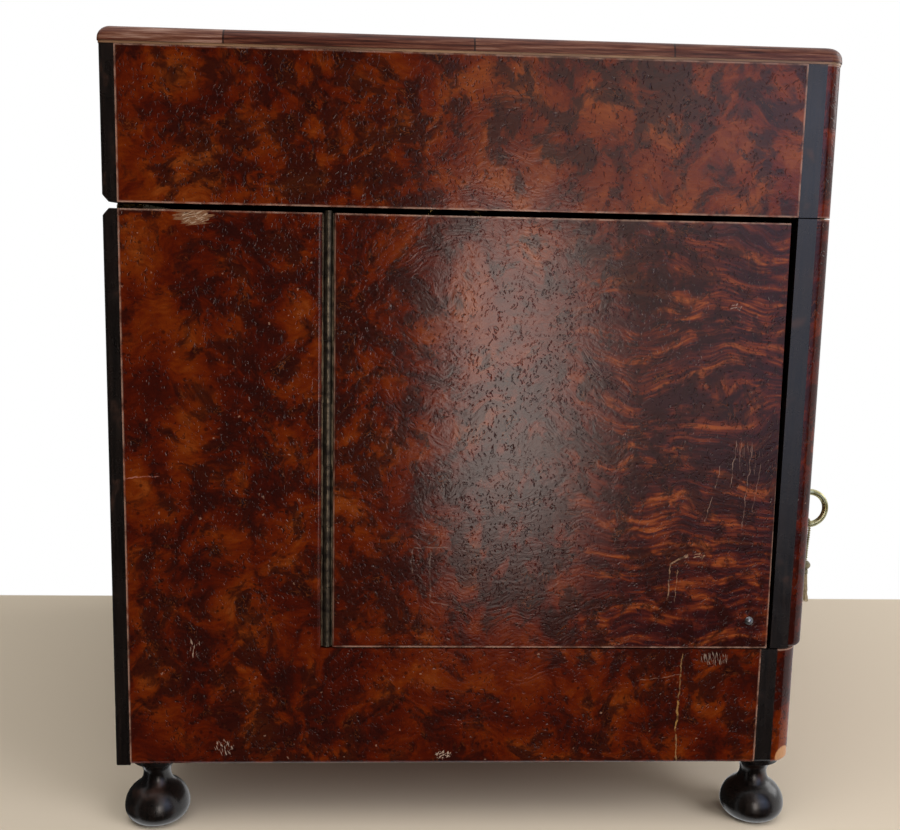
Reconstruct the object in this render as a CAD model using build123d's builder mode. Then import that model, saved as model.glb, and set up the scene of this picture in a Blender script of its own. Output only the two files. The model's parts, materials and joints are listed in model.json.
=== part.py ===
from build123d import *

import math
import os

# A French liqueur chest of about 1860, the boxed form of a tantalus. The lid is hinged at the
# back and carries the front panel on a second hinge, a side door opens at each end, and a lift-out
# rack holds four square decanters and sixteen small glasses.
# Sizes are in mm. X runs across the front, the front faces -Y, and Z rises from the table. The
# origin is on the table, under the middle of the case.

os.makedirs("parts", exist_ok=True)

# ---- case and lid ----
width = 270.0
depth = 246.5
foot_height = 25.8
plinth_height = 43.6  # fixed base, below the front panel and the side doors
door_height = 151.5
lid_gap = 2.0  # the hinge leaves hold the lid this far off the body
lid_height = 56.3
wall = 12.0
floor_thickness = 10.0
lid_board = 8.0

# ---- corners ----
corner_radius = 6.3  # rounded front corners of the front panel and the lid
post_width = 6.5  # ebony strip behind each front corner
plinth_setback = 1.5
plinth_radius = 8.4
plinth_strip_width = 6.0
back_strip_width = 5.0
back_edge_radius = 1.0
lower_edge_radius = 2.0  # worn lower edges of the plinth and the front panel
crossband_height = 5.0
crossband_overhang = 0.5
crossband_radius = 4.2
stringing_height = 0.8
stringing_overhang = 0.2

# ---- front panel and side doors ----
panel_gap = 0.5  # under the front panel and the side doors
post_gap = 0.4  # between the front panel and the lid
door_hinge_y = 48.95
door_hinge_half_gap = 2.05
door_gap_top = 2.4  # the door's front edge is out of square with the post
door_gap_bottom = 1.3
door_edge_radius = 1.0
door_stop_thickness = 3.0
door_stop_rise = 6.0
door_stop_depth = 20.0
catch_pin_inset = 8.3  # from the front post to the pin in each door's lower front corner
catch_pin_rise = 10.2  # above the door's lower edge
catch_pin_radius = 0.8
catch_pin_length = 5.0
catch_head_radius = 1.6
catch_head_height = 1.0

# ---- hinges ----
running_clearance = 0.06
knuckle_gap = 0.2
leaf_clearance = 0.15
door_barrel_radius = 1.4
door_pin_radius = 0.8
door_leaf_thickness = 0.8
door_barrel_inset = 1.5  # from the side's outer face to the hinge's axis
door_leaf_width = 9.0
door_knuckles = 7
door_hinge_rise = 0.8  # the rounded end of the barrel stands above the body
barrel_radius = 2.0
pin_radius = 1.0
leaf_thickness = 0.9
hinge_length = 50.0
hinge_knuckles = 5
hinge_spacing = 190.0
lid_leaf_width = 7.0
panel_leaf_width = 10.5
lid_opening = 95.0  # degrees, where the two bevels at the back meet
bevel_depth = 2.3
bevel_spare_angle = 1.0
barrel_recess = 0.3

# ---- feet ----
foot_inset = 12.0  # from the sides to the middle of a foot
foot_end_inset = 11.9  # and from the front and the back
foot_flange_radius = 8.7
foot_flange_height = 2.6
foot_neck_radius = 4.9
foot_neck_height = 17.9  # above the table
foot_shoulder_radius = 7.4  # where the ball's curve turns into the neck's
foot_shoulder_height = 13.4  # above the table
foot_ball_radius = 11.7
foot_ball_middle = 5.6  # above the table
foot_pad_radius = 6.1
spigot_radius = 2.8
spigot_length = 8.0
spigot_clearance = 0.05

# ---- lock and key ----
key_height = 20.2  # above the front panel's lower edge
lock_width = 42.0
lock_height = 38.0
lock_depth = 7.5
lock_wall = 1.0
selvedge = 1.5
bolt_width = 12.0
bolt_thickness = 4.5
bolt_travel = 8.0
bolt_clearance = 0.3
bolt_cap_clearance = 0.2
mortise_spare = 1.0  # depth of the plinth's mortise beyond the bolt's travel
bolt_plate_width = 26.0
bolt_plate_thickness = 1.8
bolt_plate_height = 23.0
talon_bottom = 1.1  # gap in the bolt's talon, above the key's axis
talon_top = 6.9
talon_height = 3.2
talon_inner = 4.0
talon_outer = 9.0
drill_pin_radius = 1.0
bit_reach = 8.0
bit_thickness = 2.0
bit_angle = 45.0
shank_radius = 2.4
shank_collar_radius = 4.0
shank_collar_length = 2.2
shank_collar_gap = 0.3  # between the key's collar and the front panel
key_neck_radius = 1.9
key_ring_radius = 3.3  # turned ring on the key's neck
bow_offset = 51.1  # from the front panel's face to the middle of the bow
bow_radius = 8.0
bow_wire_radius = 1.45
keyhole_radius = 3.2
keyhole_slot = 2.8
keyhole_drop = 9.0
escutcheon_rim = 1.5
escutcheon_depth = 4.0
strike_thickness = 1.0
strike_length = 32.0
strike_width = 7.5

# ---- tassel ----
cord_radius = 0.7
cord_half_spread = 2.5
cord_start_spread = 0.8
cord_knot_spread = 1.3
cord_knot_rise = 6.4
cord_bow_drop = 4.2
cord_clearance = 0.35  # between the cord and the bow's wire
cord_inlay = 0.3  # the cord's ends go this far into the tassel's head
tassel_head_radius = 2.7
tassel_head_height = 4.6
tassel_head_drop = 17.9  # from the cord's ring to the top of the tassel's head
tassel_neck_radius = 1.5
tassel_neck_height = 1.2
tassel_skirt_radius = 2.3
tassel_shoulder_radius = 2.1
tassel_shoulder_drop = 2.5
tassel_skirt_length = 14.6

# ---- rack ----
rack_clearance = 6.0  # on each side of the rack
rack_base_thickness = 8.0
rack_well = 2.0
column_radius = 2.2
column_inset = 4.5
shelf_width = 50.0
shelf_height = 84.0  # above the rack's base
shelf_thickness = 5.0
gallery_height = 36.0  # above the shelf
gallery_thickness = 2.0
gallery_band = 5.0
frame_height = 54.0  # above the rack's base
frame_thickness = 4.0
frame_band = 5.0
frame_fit = 0.5
handle_radius = 3.2
handle_ring_radius = 15.0
handle_wire_radius = 2.6
handle_knop_radius = 5.1
handle_neck_radius = 2.4
handle_knop_places = (14.0, 10.0, 7.0, 3.0)  # below the ring, from the lowest up
handle_rise = 190.0  # from the rack's base to the top of the ring

# ---- decanters and glasses ----
decanter_gap = 5.0  # between two decanters
decanter_shelf_gap = 3.5  # between a decanter and the edge of the glasses' shelf
decanter_chamfer = 9.0
decanter_body = 104.0
decanter_shoulder = 18.0
decanter_neck = 26.0
decanter_neck_width = 26.0
decanter_lip = 4.0
decanter_lip_radius = 16.0
glass_wall = 4.0
glass_floor = 8.0
throat_radius = 7.1
mouth_radius = 8.1
plug_length = 22.0
ground_clearance = 0.08
stopper_collar_radius = 12.0
stopper_collar_height = 2.0
stopper_height = 32.0
stopper_width = 28.0
stopper_foot_width = 11.2
stopper_tip_width = 9.8
plug_spare = 1.0  # the plug ends this far above the throat
glass_height = 76.0
glass_foot_radius = 19.0
glass_foot_thickness = 2.5
glass_stem_radius = 2.4
glass_stem_height = 24.0
glass_bowl_width = 40.0
glass_shoulder_width = 34.0
glass_shoulder_height = 36.0
glass_bowl_wall = 1.5
glass_bowl_floor = 4.5
glass_recess = 1.5
glass_recess_clearance = 0.5
glasses_in_row = 4
glass_row_end = 29.5  # from the rack's edge to the middle of the last glass

# ---- places worked out from the sizes ----
half_width = width / 2
half_depth = depth / 2
face = -half_depth
inner_side = half_width - wall
case_bottom = foot_height
floor_top = case_bottom + floor_thickness
plinth_top = case_bottom + plinth_height
body_top = plinth_top + door_height
lid_bottom = body_top + lid_gap
lid_top = lid_bottom + lid_height
crossband_bottom = lid_top - crossband_height
rail_top = crossband_bottom - stringing_height
plinth_face = face + plinth_setback
plinth_strip_front = plinth_face + plinth_radius
plinth_strip_back = plinth_strip_front + plinth_strip_width
post_front = face + corner_radius
post_back = post_front + post_width
back_strip_front = half_depth - back_strip_width
panel_bottom = plinth_top + panel_gap
panel_top = lid_bottom - post_gap
door_bottom = plinth_top + panel_gap
door_edge = door_hinge_y - door_hinge_half_gap
fixed_edge = door_hinge_y + door_hinge_half_gap


def save(piece, node):
    """Label a finished piece and write it as its own STEP file."""
    piece.part.label = node
    export_step(piece.part, f"parts/{node}.step")


def block(x, y, z, mode=Mode.ADD):
    """A box between two values on each axis, in the part builder that is open."""
    spans = (x, y, z)
    with Locations(tuple((low + high) / 2 for low, high in spans)):
        Box(*[high - low for low, high in spans], mode=mode)


def both_sides(inner, outer):
    """The same span of X on the left and on the right."""
    return ((-outer, -inner), (inner, outer))


def foot_places():
    """Where the four feet stand."""
    return GridLocations(width - 2 * foot_inset, depth - 2 * foot_end_inset, 2, 2)


def drill_foot_holes():
    """The holes that the feet's spigots are glued in, cut from the piece that is open."""
    with BuildSketch(Plane.XY.offset(case_bottom)) as holes:
        with foot_places():
            Circle(spigot_radius + spigot_clearance)
    extrude(holes.sketch, amount=spigot_length + spigot_clearance, mode=Mode.SUBTRACT)


def front_board(board_face, radius, low, high):
    """A front board with rounded corners, rebated at its ends for the ebony strips."""
    back = board_face + wall
    with BuildSketch(Plane.XY.offset(low)) as plan:
        with Locations((0, board_face + wall / 2)):
            Rectangle(width, wall)
        fillet(plan.vertices().group_by(Axis.Y)[0], radius)
        for left, right in both_sides(inner_side, half_width):
            rebate = wall - radius
            with Locations(((left + right) / 2, back - rebate / 2)):
                Rectangle(right - left, rebate, mode=Mode.SUBTRACT)
    extrude(plan.sketch, amount=high - low)


# ---- the bevelled back joint, which stops the lid ----
bevel_angle = math.radians(lid_opening / 2 + bevel_spare_angle / 2)
bevel_height = bevel_depth * math.tan(bevel_angle)
lid_axis_z = (body_top + lid_bottom) / 2
lid_axis_y = half_depth - bevel_depth - lid_gap / 2 / math.tan(bevel_angle)
panel_axis_z = (panel_top + lid_bottom) / 2
panel_axis_y = face
hinge_places = (-hinge_spacing / 2, hinge_spacing / 2)


def bevel_back_edge(edge_z, up):
    """Bevel a back edge at the lid joint: up is 1 above the joint and -1 below it."""
    with BuildSketch(Plane.YZ) as wedge:
        with BuildLine():
            Polyline(
                (half_depth - bevel_depth, edge_z),
                (half_depth, edge_z + up * bevel_height),
                (half_depth + bevel_depth, edge_z),
                close=True,
            )
        make_face()
    extrude(wedge.sketch, amount=half_width + 1, both=True, mode=Mode.SUBTRACT)


def let_in_hinges(axis_y, axis_z, wood_z, leaf_width, inward, up):
    """Cut the barrels' groove and the leaves' pockets in a wooden edge at wood_z."""
    sunk = leaf_thickness - abs(wood_z - axis_z) + leaf_gap(wood_z, axis_z)
    for place in hinge_places:
        x = (place - hinge_length / 2 - knuckle_gap, place + hinge_length / 2 + knuckle_gap)
        with BuildSketch(Plane.YZ.offset(x[0])) as groove:
            with Locations((axis_y, axis_z)):
                Circle(barrel_radius + barrel_recess)
        extrude(groove.sketch, amount=x[1] - x[0], mode=Mode.SUBTRACT)
        if round(sunk, 3) > 0:
            y = sorted((axis_y, axis_y + inward * (leaf_width + knuckle_gap)))
            block(x, y, sorted((wood_z, wood_z + up * sunk)), mode=Mode.SUBTRACT)


def leaf_gap(wood_z, axis_z):
    """Half the gap between two closed leaves: they lie on the wood, or are let in to it."""
    return max(abs(wood_z - axis_z) - leaf_thickness, knuckle_gap / 2)


def hinge_leaves(axis_y, axis_z, wood_z, leaf_width, inward, up, own):
    """Both hinges' leaves on one side of a joint, with the knuckles numbered in own."""
    pitch = hinge_length / hinge_knuckles
    near = leaf_gap(wood_z, axis_z)
    for place in hinge_places:
        start = place - hinge_length / 2
        y = sorted((axis_y, axis_y + inward * leaf_width))
        z = sorted((axis_z + up * near, axis_z + up * (near + leaf_thickness)))
        block((start, start + hinge_length), y, z)
        for n in range(hinge_knuckles):
            mine = n in own
            grow = -knuckle_gap / 2 if mine else knuckle_gap / 2
            radius = barrel_radius if mine else barrel_radius + leaf_clearance
            low = start + n * pitch - (grow if 0 < n else 0)
            high = start + (n + 1) * pitch + (grow if n < hinge_knuckles - 1 else 0)
            with BuildSketch(Plane.YZ.offset(low)) as knuckle:
                with Locations((axis_y, axis_z)):
                    Circle(radius)
            mode = Mode.ADD if mine else Mode.SUBTRACT
            extrude(knuckle.sketch, amount=high - low, mode=mode)
        with BuildSketch(Plane.YZ.offset(start)) as bore:
            with Locations((axis_y, axis_z)):
                Circle(pin_radius + running_clearance)
        extrude(bore.sketch, amount=hinge_length, mode=Mode.SUBTRACT)


def hinge_pins(axis_y, axis_z):
    """A pin through each hinge's knuckles."""
    for place in hinge_places:
        with BuildSketch(Plane.YZ.offset(place - hinge_length / 2)) as pin:
            with Locations((axis_y, axis_z)):
                Circle(pin_radius)
        extrude(pin.sketch, amount=hinge_length)


lower_knuckles = range(0, hinge_knuckles, 2)
upper_knuckles = range(1, hinge_knuckles, 2)
lid_hinge = dict(axis_y=lid_axis_y, axis_z=lid_axis_z, leaf_width=lid_leaf_width, inward=-1)
panel_hinge = dict(
    axis_y=panel_axis_y, axis_z=panel_axis_z, leaf_width=panel_leaf_width, inward=1
)

# ======== case ========

with BuildPart() as floor_board:
    block(
        (-inner_side, inner_side),
        (plinth_face + wall, half_depth - wall),
        (case_bottom, floor_top),
    )
    drill_foot_holes()
save(floor_board, "floor_board")

for side, node in ((-1, "left_side"), (1, "right_side")):
    with BuildPart() as side_board:
        with BuildSketch(Plane.YZ.offset(side * half_width)):
            with BuildLine():
                Polyline(
                    (plinth_strip_back, case_bottom),
                    (back_strip_front, case_bottom),
                    (back_strip_front, body_top),
                    (fixed_edge, body_top),
                    (fixed_edge, plinth_top),
                    (plinth_strip_back, plinth_top),
                    close=True,
                )
            make_face()
        extrude(amount=-side * wall)
        outer = side_board.edges().filter_by(Axis.Y).group_by(Axis.Z)[0].sort_by(Axis.X)
        fillet(outer[-1] if side > 0 else outer[0], lower_edge_radius)
        upright = side_board.edges().filter_by(Axis.Z)
        upright = upright.filter_by_position(Axis.Y, fixed_edge - 0.1, fixed_edge + 0.1)
        upright = upright.sort_by(Axis.X)
        fillet(upright[-1] if side > 0 else upright[0], door_edge_radius)
        drill_foot_holes()
    save(side_board, node)

with BuildPart() as back_panel:
    block((-inner_side, inner_side), (half_depth - wall, half_depth), (case_bottom, body_top))
    lowest = back_panel.edges().filter_by(Axis.X).group_by(Axis.Z)[0]
    fillet(lowest.sort_by(Axis.Y)[-1], lower_edge_radius)
    bevel_back_edge(body_top, -1)
    let_in_hinges(wood_z=body_top, up=-1, **lid_hinge)
    drill_foot_holes()
save(back_panel, "back_panel")

bolt_back = face + wall - lock_wall - bolt_cap_clearance
bolt_middle = bolt_back - bolt_thickness / 2
mortise_depth = bolt_travel + mortise_spare

with BuildPart() as plinth_front:
    front_board(plinth_face, plinth_radius, case_bottom, plinth_top)
    lower = plinth_front.edges().group_by(Axis.Z)[0]
    fillet(lower.filter_by_position(Axis.Y, face, plinth_strip_front - 0.1), lower_edge_radius)
    block(
        (-strike_length / 2, strike_length / 2),
        (bolt_middle - strike_width / 2, bolt_middle + strike_width / 2),
        (plinth_top - strike_thickness, plinth_top),
        mode=Mode.SUBTRACT,
    )
    block(
        (-bolt_width / 2 - bolt_clearance, bolt_width / 2 + bolt_clearance),
        (bolt_back - bolt_thickness - bolt_clearance, bolt_back + bolt_clearance),
        (plinth_top - mortise_depth, plinth_top),
        mode=Mode.SUBTRACT,
    )
    drill_foot_holes()
save(plinth_front, "plinth_front")

with BuildPart() as plinth_corner_strips:
    for x in both_sides(inner_side, half_width):
        block(x, (plinth_strip_front, plinth_strip_back), (case_bottom, plinth_top))
    lowest = plinth_corner_strips.edges().filter_by(Axis.Y).group_by(Axis.Z)[0]
    fillet((lowest.sort_by(Axis.X)[0], lowest.sort_by(Axis.X)[-1]), lower_edge_radius)
    drill_foot_holes()
save(plinth_corner_strips, "plinth_corner_strips")

with BuildPart() as back_corner_strips:
    for x in both_sides(inner_side, half_width):
        block(x, (back_strip_front, half_depth), (case_bottom, body_top))
    upright = back_corner_strips.edges().filter_by(Axis.Z).group_by(Axis.Y)[-1]
    fillet((upright.sort_by(Axis.X)[0], upright.sort_by(Axis.X)[-1]), back_edge_radius)
    bevel_back_edge(body_top, -1)
save(back_corner_strips, "back_corner_strips")

with BuildPart() as door_stops:
    for x in both_sides(inner_side - door_stop_thickness, inner_side):
        block(
            x,
            (plinth_strip_back, door_edge - wall),
            (plinth_top - door_stop_depth, plinth_top + door_stop_rise),
        )
save(door_stops, "door_stops")

with BuildPart() as strike_plate:
    block(
        (-strike_length / 2, strike_length / 2),
        (bolt_middle - strike_width / 2, bolt_middle + strike_width / 2),
        (plinth_top - strike_thickness, plinth_top),
    )
    block(
        (-bolt_width / 2 - bolt_clearance, bolt_width / 2 + bolt_clearance),
        (bolt_back - bolt_thickness - bolt_clearance, bolt_back + bolt_clearance),
        (plinth_top - strike_thickness, plinth_top),
        mode=Mode.SUBTRACT,
    )
save(strike_plate, "strike_plate")

# A turned foot: a flattened ball that runs into a neck, a cove and a thin flange, with a spigot
# glued in the case.
with BuildPart() as feet:
    with BuildPart(mode=Mode.PRIVATE) as foot:
        with BuildSketch(Plane.XZ):
            with BuildLine():
                Line((0, 0), (foot_pad_radius, 0))
                TangentArc(
                    (foot_pad_radius, 0),
                    (foot_ball_radius, foot_ball_middle),
                    tangent=(1, 0),
                )
                TangentArc(
                    (foot_ball_radius, foot_ball_middle),
                    (foot_shoulder_radius, foot_shoulder_height),
                    tangent=(0, 1),
                )
                TangentArc(
                    (foot_neck_radius, foot_neck_height),
                    (foot_shoulder_radius, foot_shoulder_height),
                    tangent=(0, -1),
                )
                TangentArc(
                    (foot_neck_radius, foot_neck_height),
                    (foot_flange_radius, foot_height - foot_flange_height),
                    tangent=(0, 1),
                )
                Polyline(
                    (foot_flange_radius, foot_height - foot_flange_height),
                    (foot_flange_radius, foot_height),
                    (spigot_radius, foot_height),
                    (spigot_radius, foot_height + spigot_length),
                    (0, foot_height + spigot_length),
                    (0, 0),
                )
            make_face()
        revolve(axis=Axis.Z)
    with foot_places():
        add(foot.part)
save(feet, "feet")

# ======== lid ========

with BuildPart() as lid_front_rail:
    front_board(face, corner_radius, lid_bottom, rail_top)
    let_in_hinges(wood_z=lid_bottom, up=1, **panel_hinge)
save(lid_front_rail, "lid_front_rail")

with BuildPart() as lid_back_rail:
    block((-inner_side, inner_side), (half_depth - wall, half_depth), (lid_bottom, rail_top))
    bevel_back_edge(lid_bottom, 1)
    let_in_hinges(wood_z=lid_bottom, up=1, **lid_hinge)
save(lid_back_rail, "lid_back_rail")

for side, node in ((-1, "lid_left_rail"), (1, "lid_right_rail")):
    with BuildPart() as side_rail:
        x = sorted((side * inner_side, side * half_width))
        block(x, (post_back, back_strip_front), (lid_bottom, rail_top))
    save(side_rail, node)

with BuildPart() as lid_corner_strips:
    for x in both_sides(inner_side, half_width):
        block(x, (post_front, post_back), (lid_bottom, rail_top))
        block(x, (back_strip_front, half_depth), (lid_bottom, rail_top))
    upright = lid_corner_strips.edges().filter_by(Axis.Z).group_by(Axis.Y)[-1]
    fillet((upright.sort_by(Axis.X)[0], upright.sort_by(Axis.X)[-1]), back_edge_radius)
    bevel_back_edge(lid_bottom, 1)
save(lid_corner_strips, "lid_corner_strips")


def lid_band(low, high, overhang):
    """A band round the top of the lid, between two heights."""
    with BuildSketch(Plane.XY.offset(low)) as plan:
        outline = Rectangle(width + 2 * overhang, depth + 2 * overhang)
        fillet(outline.vertices().group_by(Axis.Y)[0], corner_radius + overhang)
        fillet(plan.vertices().group_by(Axis.Y)[-1], back_edge_radius + overhang)
        Rectangle(width - 2 * wall, depth - 2 * wall, mode=Mode.SUBTRACT)
    extrude(plan.sketch, amount=high - low)


with BuildPart() as lid_stringing:
    lid_band(rail_top, crossband_bottom, stringing_overhang)
save(lid_stringing, "lid_stringing")

with BuildPart() as lid_crossband:
    lid_band(crossband_bottom, lid_top, crossband_overhang)
    top_edges = lid_crossband.faces().sort_by(Axis.Z)[-1].outer_wire().edges()
    fillet(top_edges, crossband_radius)
save(lid_crossband, "lid_crossband")

with BuildPart() as lid_panel:
    block(
        (-inner_side, inner_side),
        (face + wall, half_depth - wall),
        (lid_top - lid_board, lid_top),
    )
save(lid_panel, "lid_panel")

# ======== hinges of the lid and of the front panel ========

with BuildPart() as lid_hinge_lower_leaves:
    hinge_leaves(wood_z=body_top, up=-1, own=lower_knuckles, **lid_hinge)
save(lid_hinge_lower_leaves, "lid_hinge_lower_leaves")

with BuildPart() as lid_hinge_upper_leaves:
    hinge_leaves(wood_z=lid_bottom, up=1, own=upper_knuckles, **lid_hinge)
save(lid_hinge_upper_leaves, "lid_hinge_upper_leaves")

with BuildPart() as lid_hinge_pins:
    hinge_pins(lid_axis_y, lid_axis_z)
save(lid_hinge_pins, "lid_hinge_pins")

with BuildPart() as panel_hinge_lower_leaves:
    hinge_leaves(wood_z=panel_top, up=-1, own=upper_knuckles, **panel_hinge)
save(panel_hinge_lower_leaves, "panel_hinge_lower_leaves")

with BuildPart() as panel_hinge_upper_leaves:
    hinge_leaves(wood_z=lid_bottom, up=1, own=lower_knuckles, **panel_hinge)
save(panel_hinge_upper_leaves, "panel_hinge_upper_leaves")

with BuildPart() as panel_hinge_pins:
    hinge_pins(panel_axis_y, panel_axis_z)
save(panel_hinge_pins, "panel_hinge_pins")

# ======== front panel, lock and key ========

key_z = panel_bottom + key_height
lock_front = face + wall - lock_depth
lock_top = panel_bottom + lock_height


def keyhole(grow):
    """A keyhole with its slot down, as a sketch on the plane that is open."""
    Circle(keyhole_radius + grow)
    with Locations((0, -(keyhole_drop + grow) / 2)):
        Rectangle(keyhole_slot + 2 * grow, keyhole_drop + grow)


def facing_plane(y):
    """A plane that faces the front, centred on the key's axis at the depth y."""
    return Plane(origin=(0, y, key_z), x_dir=(1, 0, 0), z_dir=(0, -1, 0))


with BuildPart() as front_panel:
    front_board(face, corner_radius, panel_bottom, panel_top)
    lower = front_panel.edges().group_by(Axis.Z)[0]
    fillet(lower.filter_by_position(Axis.Y, face, post_front - 0.1), lower_edge_radius)
    let_in_hinges(wood_z=panel_top, up=-1, **panel_hinge)
    block(
        (-lock_width / 2, lock_width / 2),
        (lock_front, face + wall),
        (panel_bottom, lock_top),
        mode=Mode.SUBTRACT,
    )
    with BuildSketch(facing_plane(face)):
        keyhole(0)
    extrude(amount=-wall, mode=Mode.SUBTRACT)
    with BuildSketch(facing_plane(face)):
        keyhole(escutcheon_rim)
    extrude(amount=-escutcheon_depth, mode=Mode.SUBTRACT)
save(front_panel, "front_panel")

with BuildPart() as front_corner_posts:
    for x in both_sides(inner_side, half_width):
        block(x, (post_front, post_back), (panel_bottom, panel_top))
save(front_corner_posts, "front_corner_posts")

with BuildPart() as escutcheon:
    with BuildSketch(facing_plane(face)):
        keyhole(escutcheon_rim)
    extrude(amount=-escutcheon_depth)
    with BuildSketch(facing_plane(face)):
        keyhole(0)
    extrude(amount=-escutcheon_depth, mode=Mode.SUBTRACT)
save(escutcheon, "escutcheon")

with BuildPart() as lock_case:
    block(
        (-lock_width / 2, lock_width / 2),
        (lock_front, face + wall - lock_wall),
        (panel_bottom, lock_top),
    )
    block(
        (-lock_width / 2 + lock_wall, lock_width / 2 - lock_wall),
        (lock_front + lock_wall, face + wall - lock_wall),
        (panel_bottom + selvedge, lock_top - lock_wall),
        mode=Mode.SUBTRACT,
    )
    block(
        (-bolt_width / 2 - bolt_clearance, bolt_width / 2 + bolt_clearance),
        (bolt_back - bolt_thickness - bolt_clearance, face + wall - lock_wall),
        (panel_bottom, panel_bottom + selvedge),
        mode=Mode.SUBTRACT,
    )
    with BuildSketch(facing_plane(lock_front)):
        Circle(shank_radius + running_clearance)
    extrude(amount=-lock_wall, mode=Mode.SUBTRACT)
save(lock_case, "lock_case")

bit_back = bolt_back - bolt_plate_thickness - bolt_clearance
with BuildPart() as lock_cap:
    block(
        (-lock_width / 2, lock_width / 2),
        (face + wall - lock_wall, face + wall),
        (panel_bottom, lock_top),
    )
    with BuildSketch(facing_plane(face + wall - lock_wall)):
        Circle(drill_pin_radius)
    extrude(amount=lock_depth - 2 * lock_wall)
save(lock_cap, "lock_cap")

bolt_bottom = panel_bottom + bolt_clearance
bolt_head_height = selvedge + bolt_travel  # the plate stops on the selvedge
plate_top = bolt_bottom + bolt_head_height + bolt_plate_height
with BuildPart() as lock_bolt:
    block(
        (-bolt_width / 2, bolt_width / 2),
        (bolt_back - bolt_thickness, bolt_back),
        (bolt_bottom, bolt_bottom + bolt_head_height),
    )
    block(
        (-bolt_plate_width / 2, bolt_plate_width / 2),
        (bolt_back - bolt_plate_thickness, bolt_back),
        (bolt_bottom + bolt_head_height, plate_top),
    )
    for low in (talon_bottom - talon_height, talon_top):
        block(
            (talon_inner, talon_outer),
            (bolt_back - bolt_thickness, bolt_back),
            (key_z + low, key_z + low + talon_height),
        )
    slot_radius = drill_pin_radius + bolt_clearance
    with BuildSketch(facing_plane(bolt_back)):
        with Locations((0, bolt_travel / 2)):
            Rectangle(2 * slot_radius, bolt_travel)
        with Locations((0, 0), (0, bolt_travel)):
            Circle(slot_radius)
    extrude(amount=bolt_plate_thickness, mode=Mode.SUBTRACT)
save(lock_bolt, "lock_bolt")

# The key's stem is a body of revolution about Y. The bow is a plain ring in the upright plane.
bow_y = face - bow_offset
stem_end = bow_y + bow_radius
collar_y = face - shank_collar_gap
with BuildPart() as key:
    with BuildSketch(Plane.XY):
        with BuildLine():
            Polyline(
                (0, bit_back),
                (shank_radius, bit_back),
                (shank_radius, collar_y),
                (shank_collar_radius, collar_y),
                (shank_collar_radius, collar_y - shank_collar_length),
                (key_neck_radius, collar_y - 2 * shank_collar_length),
                (key_neck_radius, stem_end + 4 * shank_collar_length),
                (key_ring_radius, stem_end + 3.4 * shank_collar_length),
                (key_ring_radius, stem_end + 2.6 * shank_collar_length),
                (key_neck_radius, stem_end + 2 * shank_collar_length),
                (key_neck_radius, stem_end),
                (0, stem_end),
                close=True,
            )
        make_face()
    revolve(axis=Axis.Y)
    with BuildSketch(Plane(origin=(0, bow_y + bow_radius, 0), z_dir=(0, 0, 1))):
        Circle(bow_wire_radius)
    revolve(axis=Axis(origin=(0, bow_y, 0), direction=(1, 0, 0)))
    with BuildSketch(Plane(origin=(0, bit_back, 0), x_dir=(1, 0, 0), z_dir=(0, -1, 0))):
        with Locations(Rotation(0, 0, bit_angle)):
            with Locations((bit_reach / 2, 0)):
                Rectangle(bit_reach, bit_thickness)
    extrude(amount=bit_back - lock_front - lock_wall - bolt_clearance)
    with BuildSketch(Plane(origin=(0, bit_back, 0), x_dir=(1, 0, 0), z_dir=(0, -1, 0))):
        Circle(drill_pin_radius + running_clearance)
    extrude(amount=wall, mode=Mode.SUBTRACT)
key.part.locate(Location((0, 0, key_z)))
save(key, "key")

# ======== tassel, on a cord looped round the bottom of the bow ========

ring_z = key_z - bow_radius
head_top = ring_z - tassel_head_drop
loop_top = ring_z + bow_wire_radius + cord_radius + cord_clearance
rising_cord = [
    (cord_start_spread, head_top + cord_inlay),
    (cord_knot_spread, head_top + cord_inlay + cord_knot_rise),
    (cord_half_spread, ring_z - cord_bow_drop),
    (cord_half_spread, loop_top),
]


def route_radii(points, ends_share=0.45):
    """The largest arc that each corner's two runs allow, in the order of the corners."""
    radii = []
    for before, here, after in zip(points, points[1:], points[2:]):
        come = Vector(*here) - Vector(*before)
        go = Vector(*after) - Vector(*here)
        half_turn = math.radians(come.get_angle(go)) / 2
        radii.append(ends_share * min(come.length, go.length) / math.tan(half_turn))
    return radii


cord_points = [(x, bow_y, z) for x, z in rising_cord]
cord_points += [(-x, bow_y, z) for x, z in reversed(rising_cord)]
cord_radii = route_radii(cord_points)
print("cord radii", [round(radius, 2) for radius in cord_radii])

with BuildPart() as tassel_cord:
    with BuildLine() as cord_path:
        FilletPolyline(*cord_points, radius=cord_radii)
    with BuildSketch(Plane(origin=cord_path.line @ 0, z_dir=cord_path.line % 0)):
        Circle(cord_radius)
    sweep()
print("cord length", round(sum(edge.length for edge in cord_path.edges()), 2))
save(tassel_cord, "tassel_cord")

neck_top = head_top - tassel_head_height
skirt_top = neck_top - tassel_neck_height
bow_plane = Plane(origin=(0, bow_y, 0), x_dir=(1, 0, 0), z_dir=(0, -1, 0))

with BuildPart() as tassel_head:
    with BuildSketch(bow_plane):
        with BuildLine():
            Line((0, skirt_top), (tassel_neck_radius, skirt_top))
            Line((tassel_neck_radius, skirt_top), (tassel_neck_radius, neck_top))
            ThreePointArc(
                (tassel_neck_radius, neck_top),
                (tassel_head_radius, (neck_top + head_top) / 2),
                (tassel_neck_radius, head_top),
            )
            Line((tassel_neck_radius, head_top), (0, head_top))
            Line((0, head_top), (0, skirt_top))
        make_face()
    revolve(axis=Axis((0, bow_y, 0), (0, 0, 1)))
save(tassel_head, "tassel_head")

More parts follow.
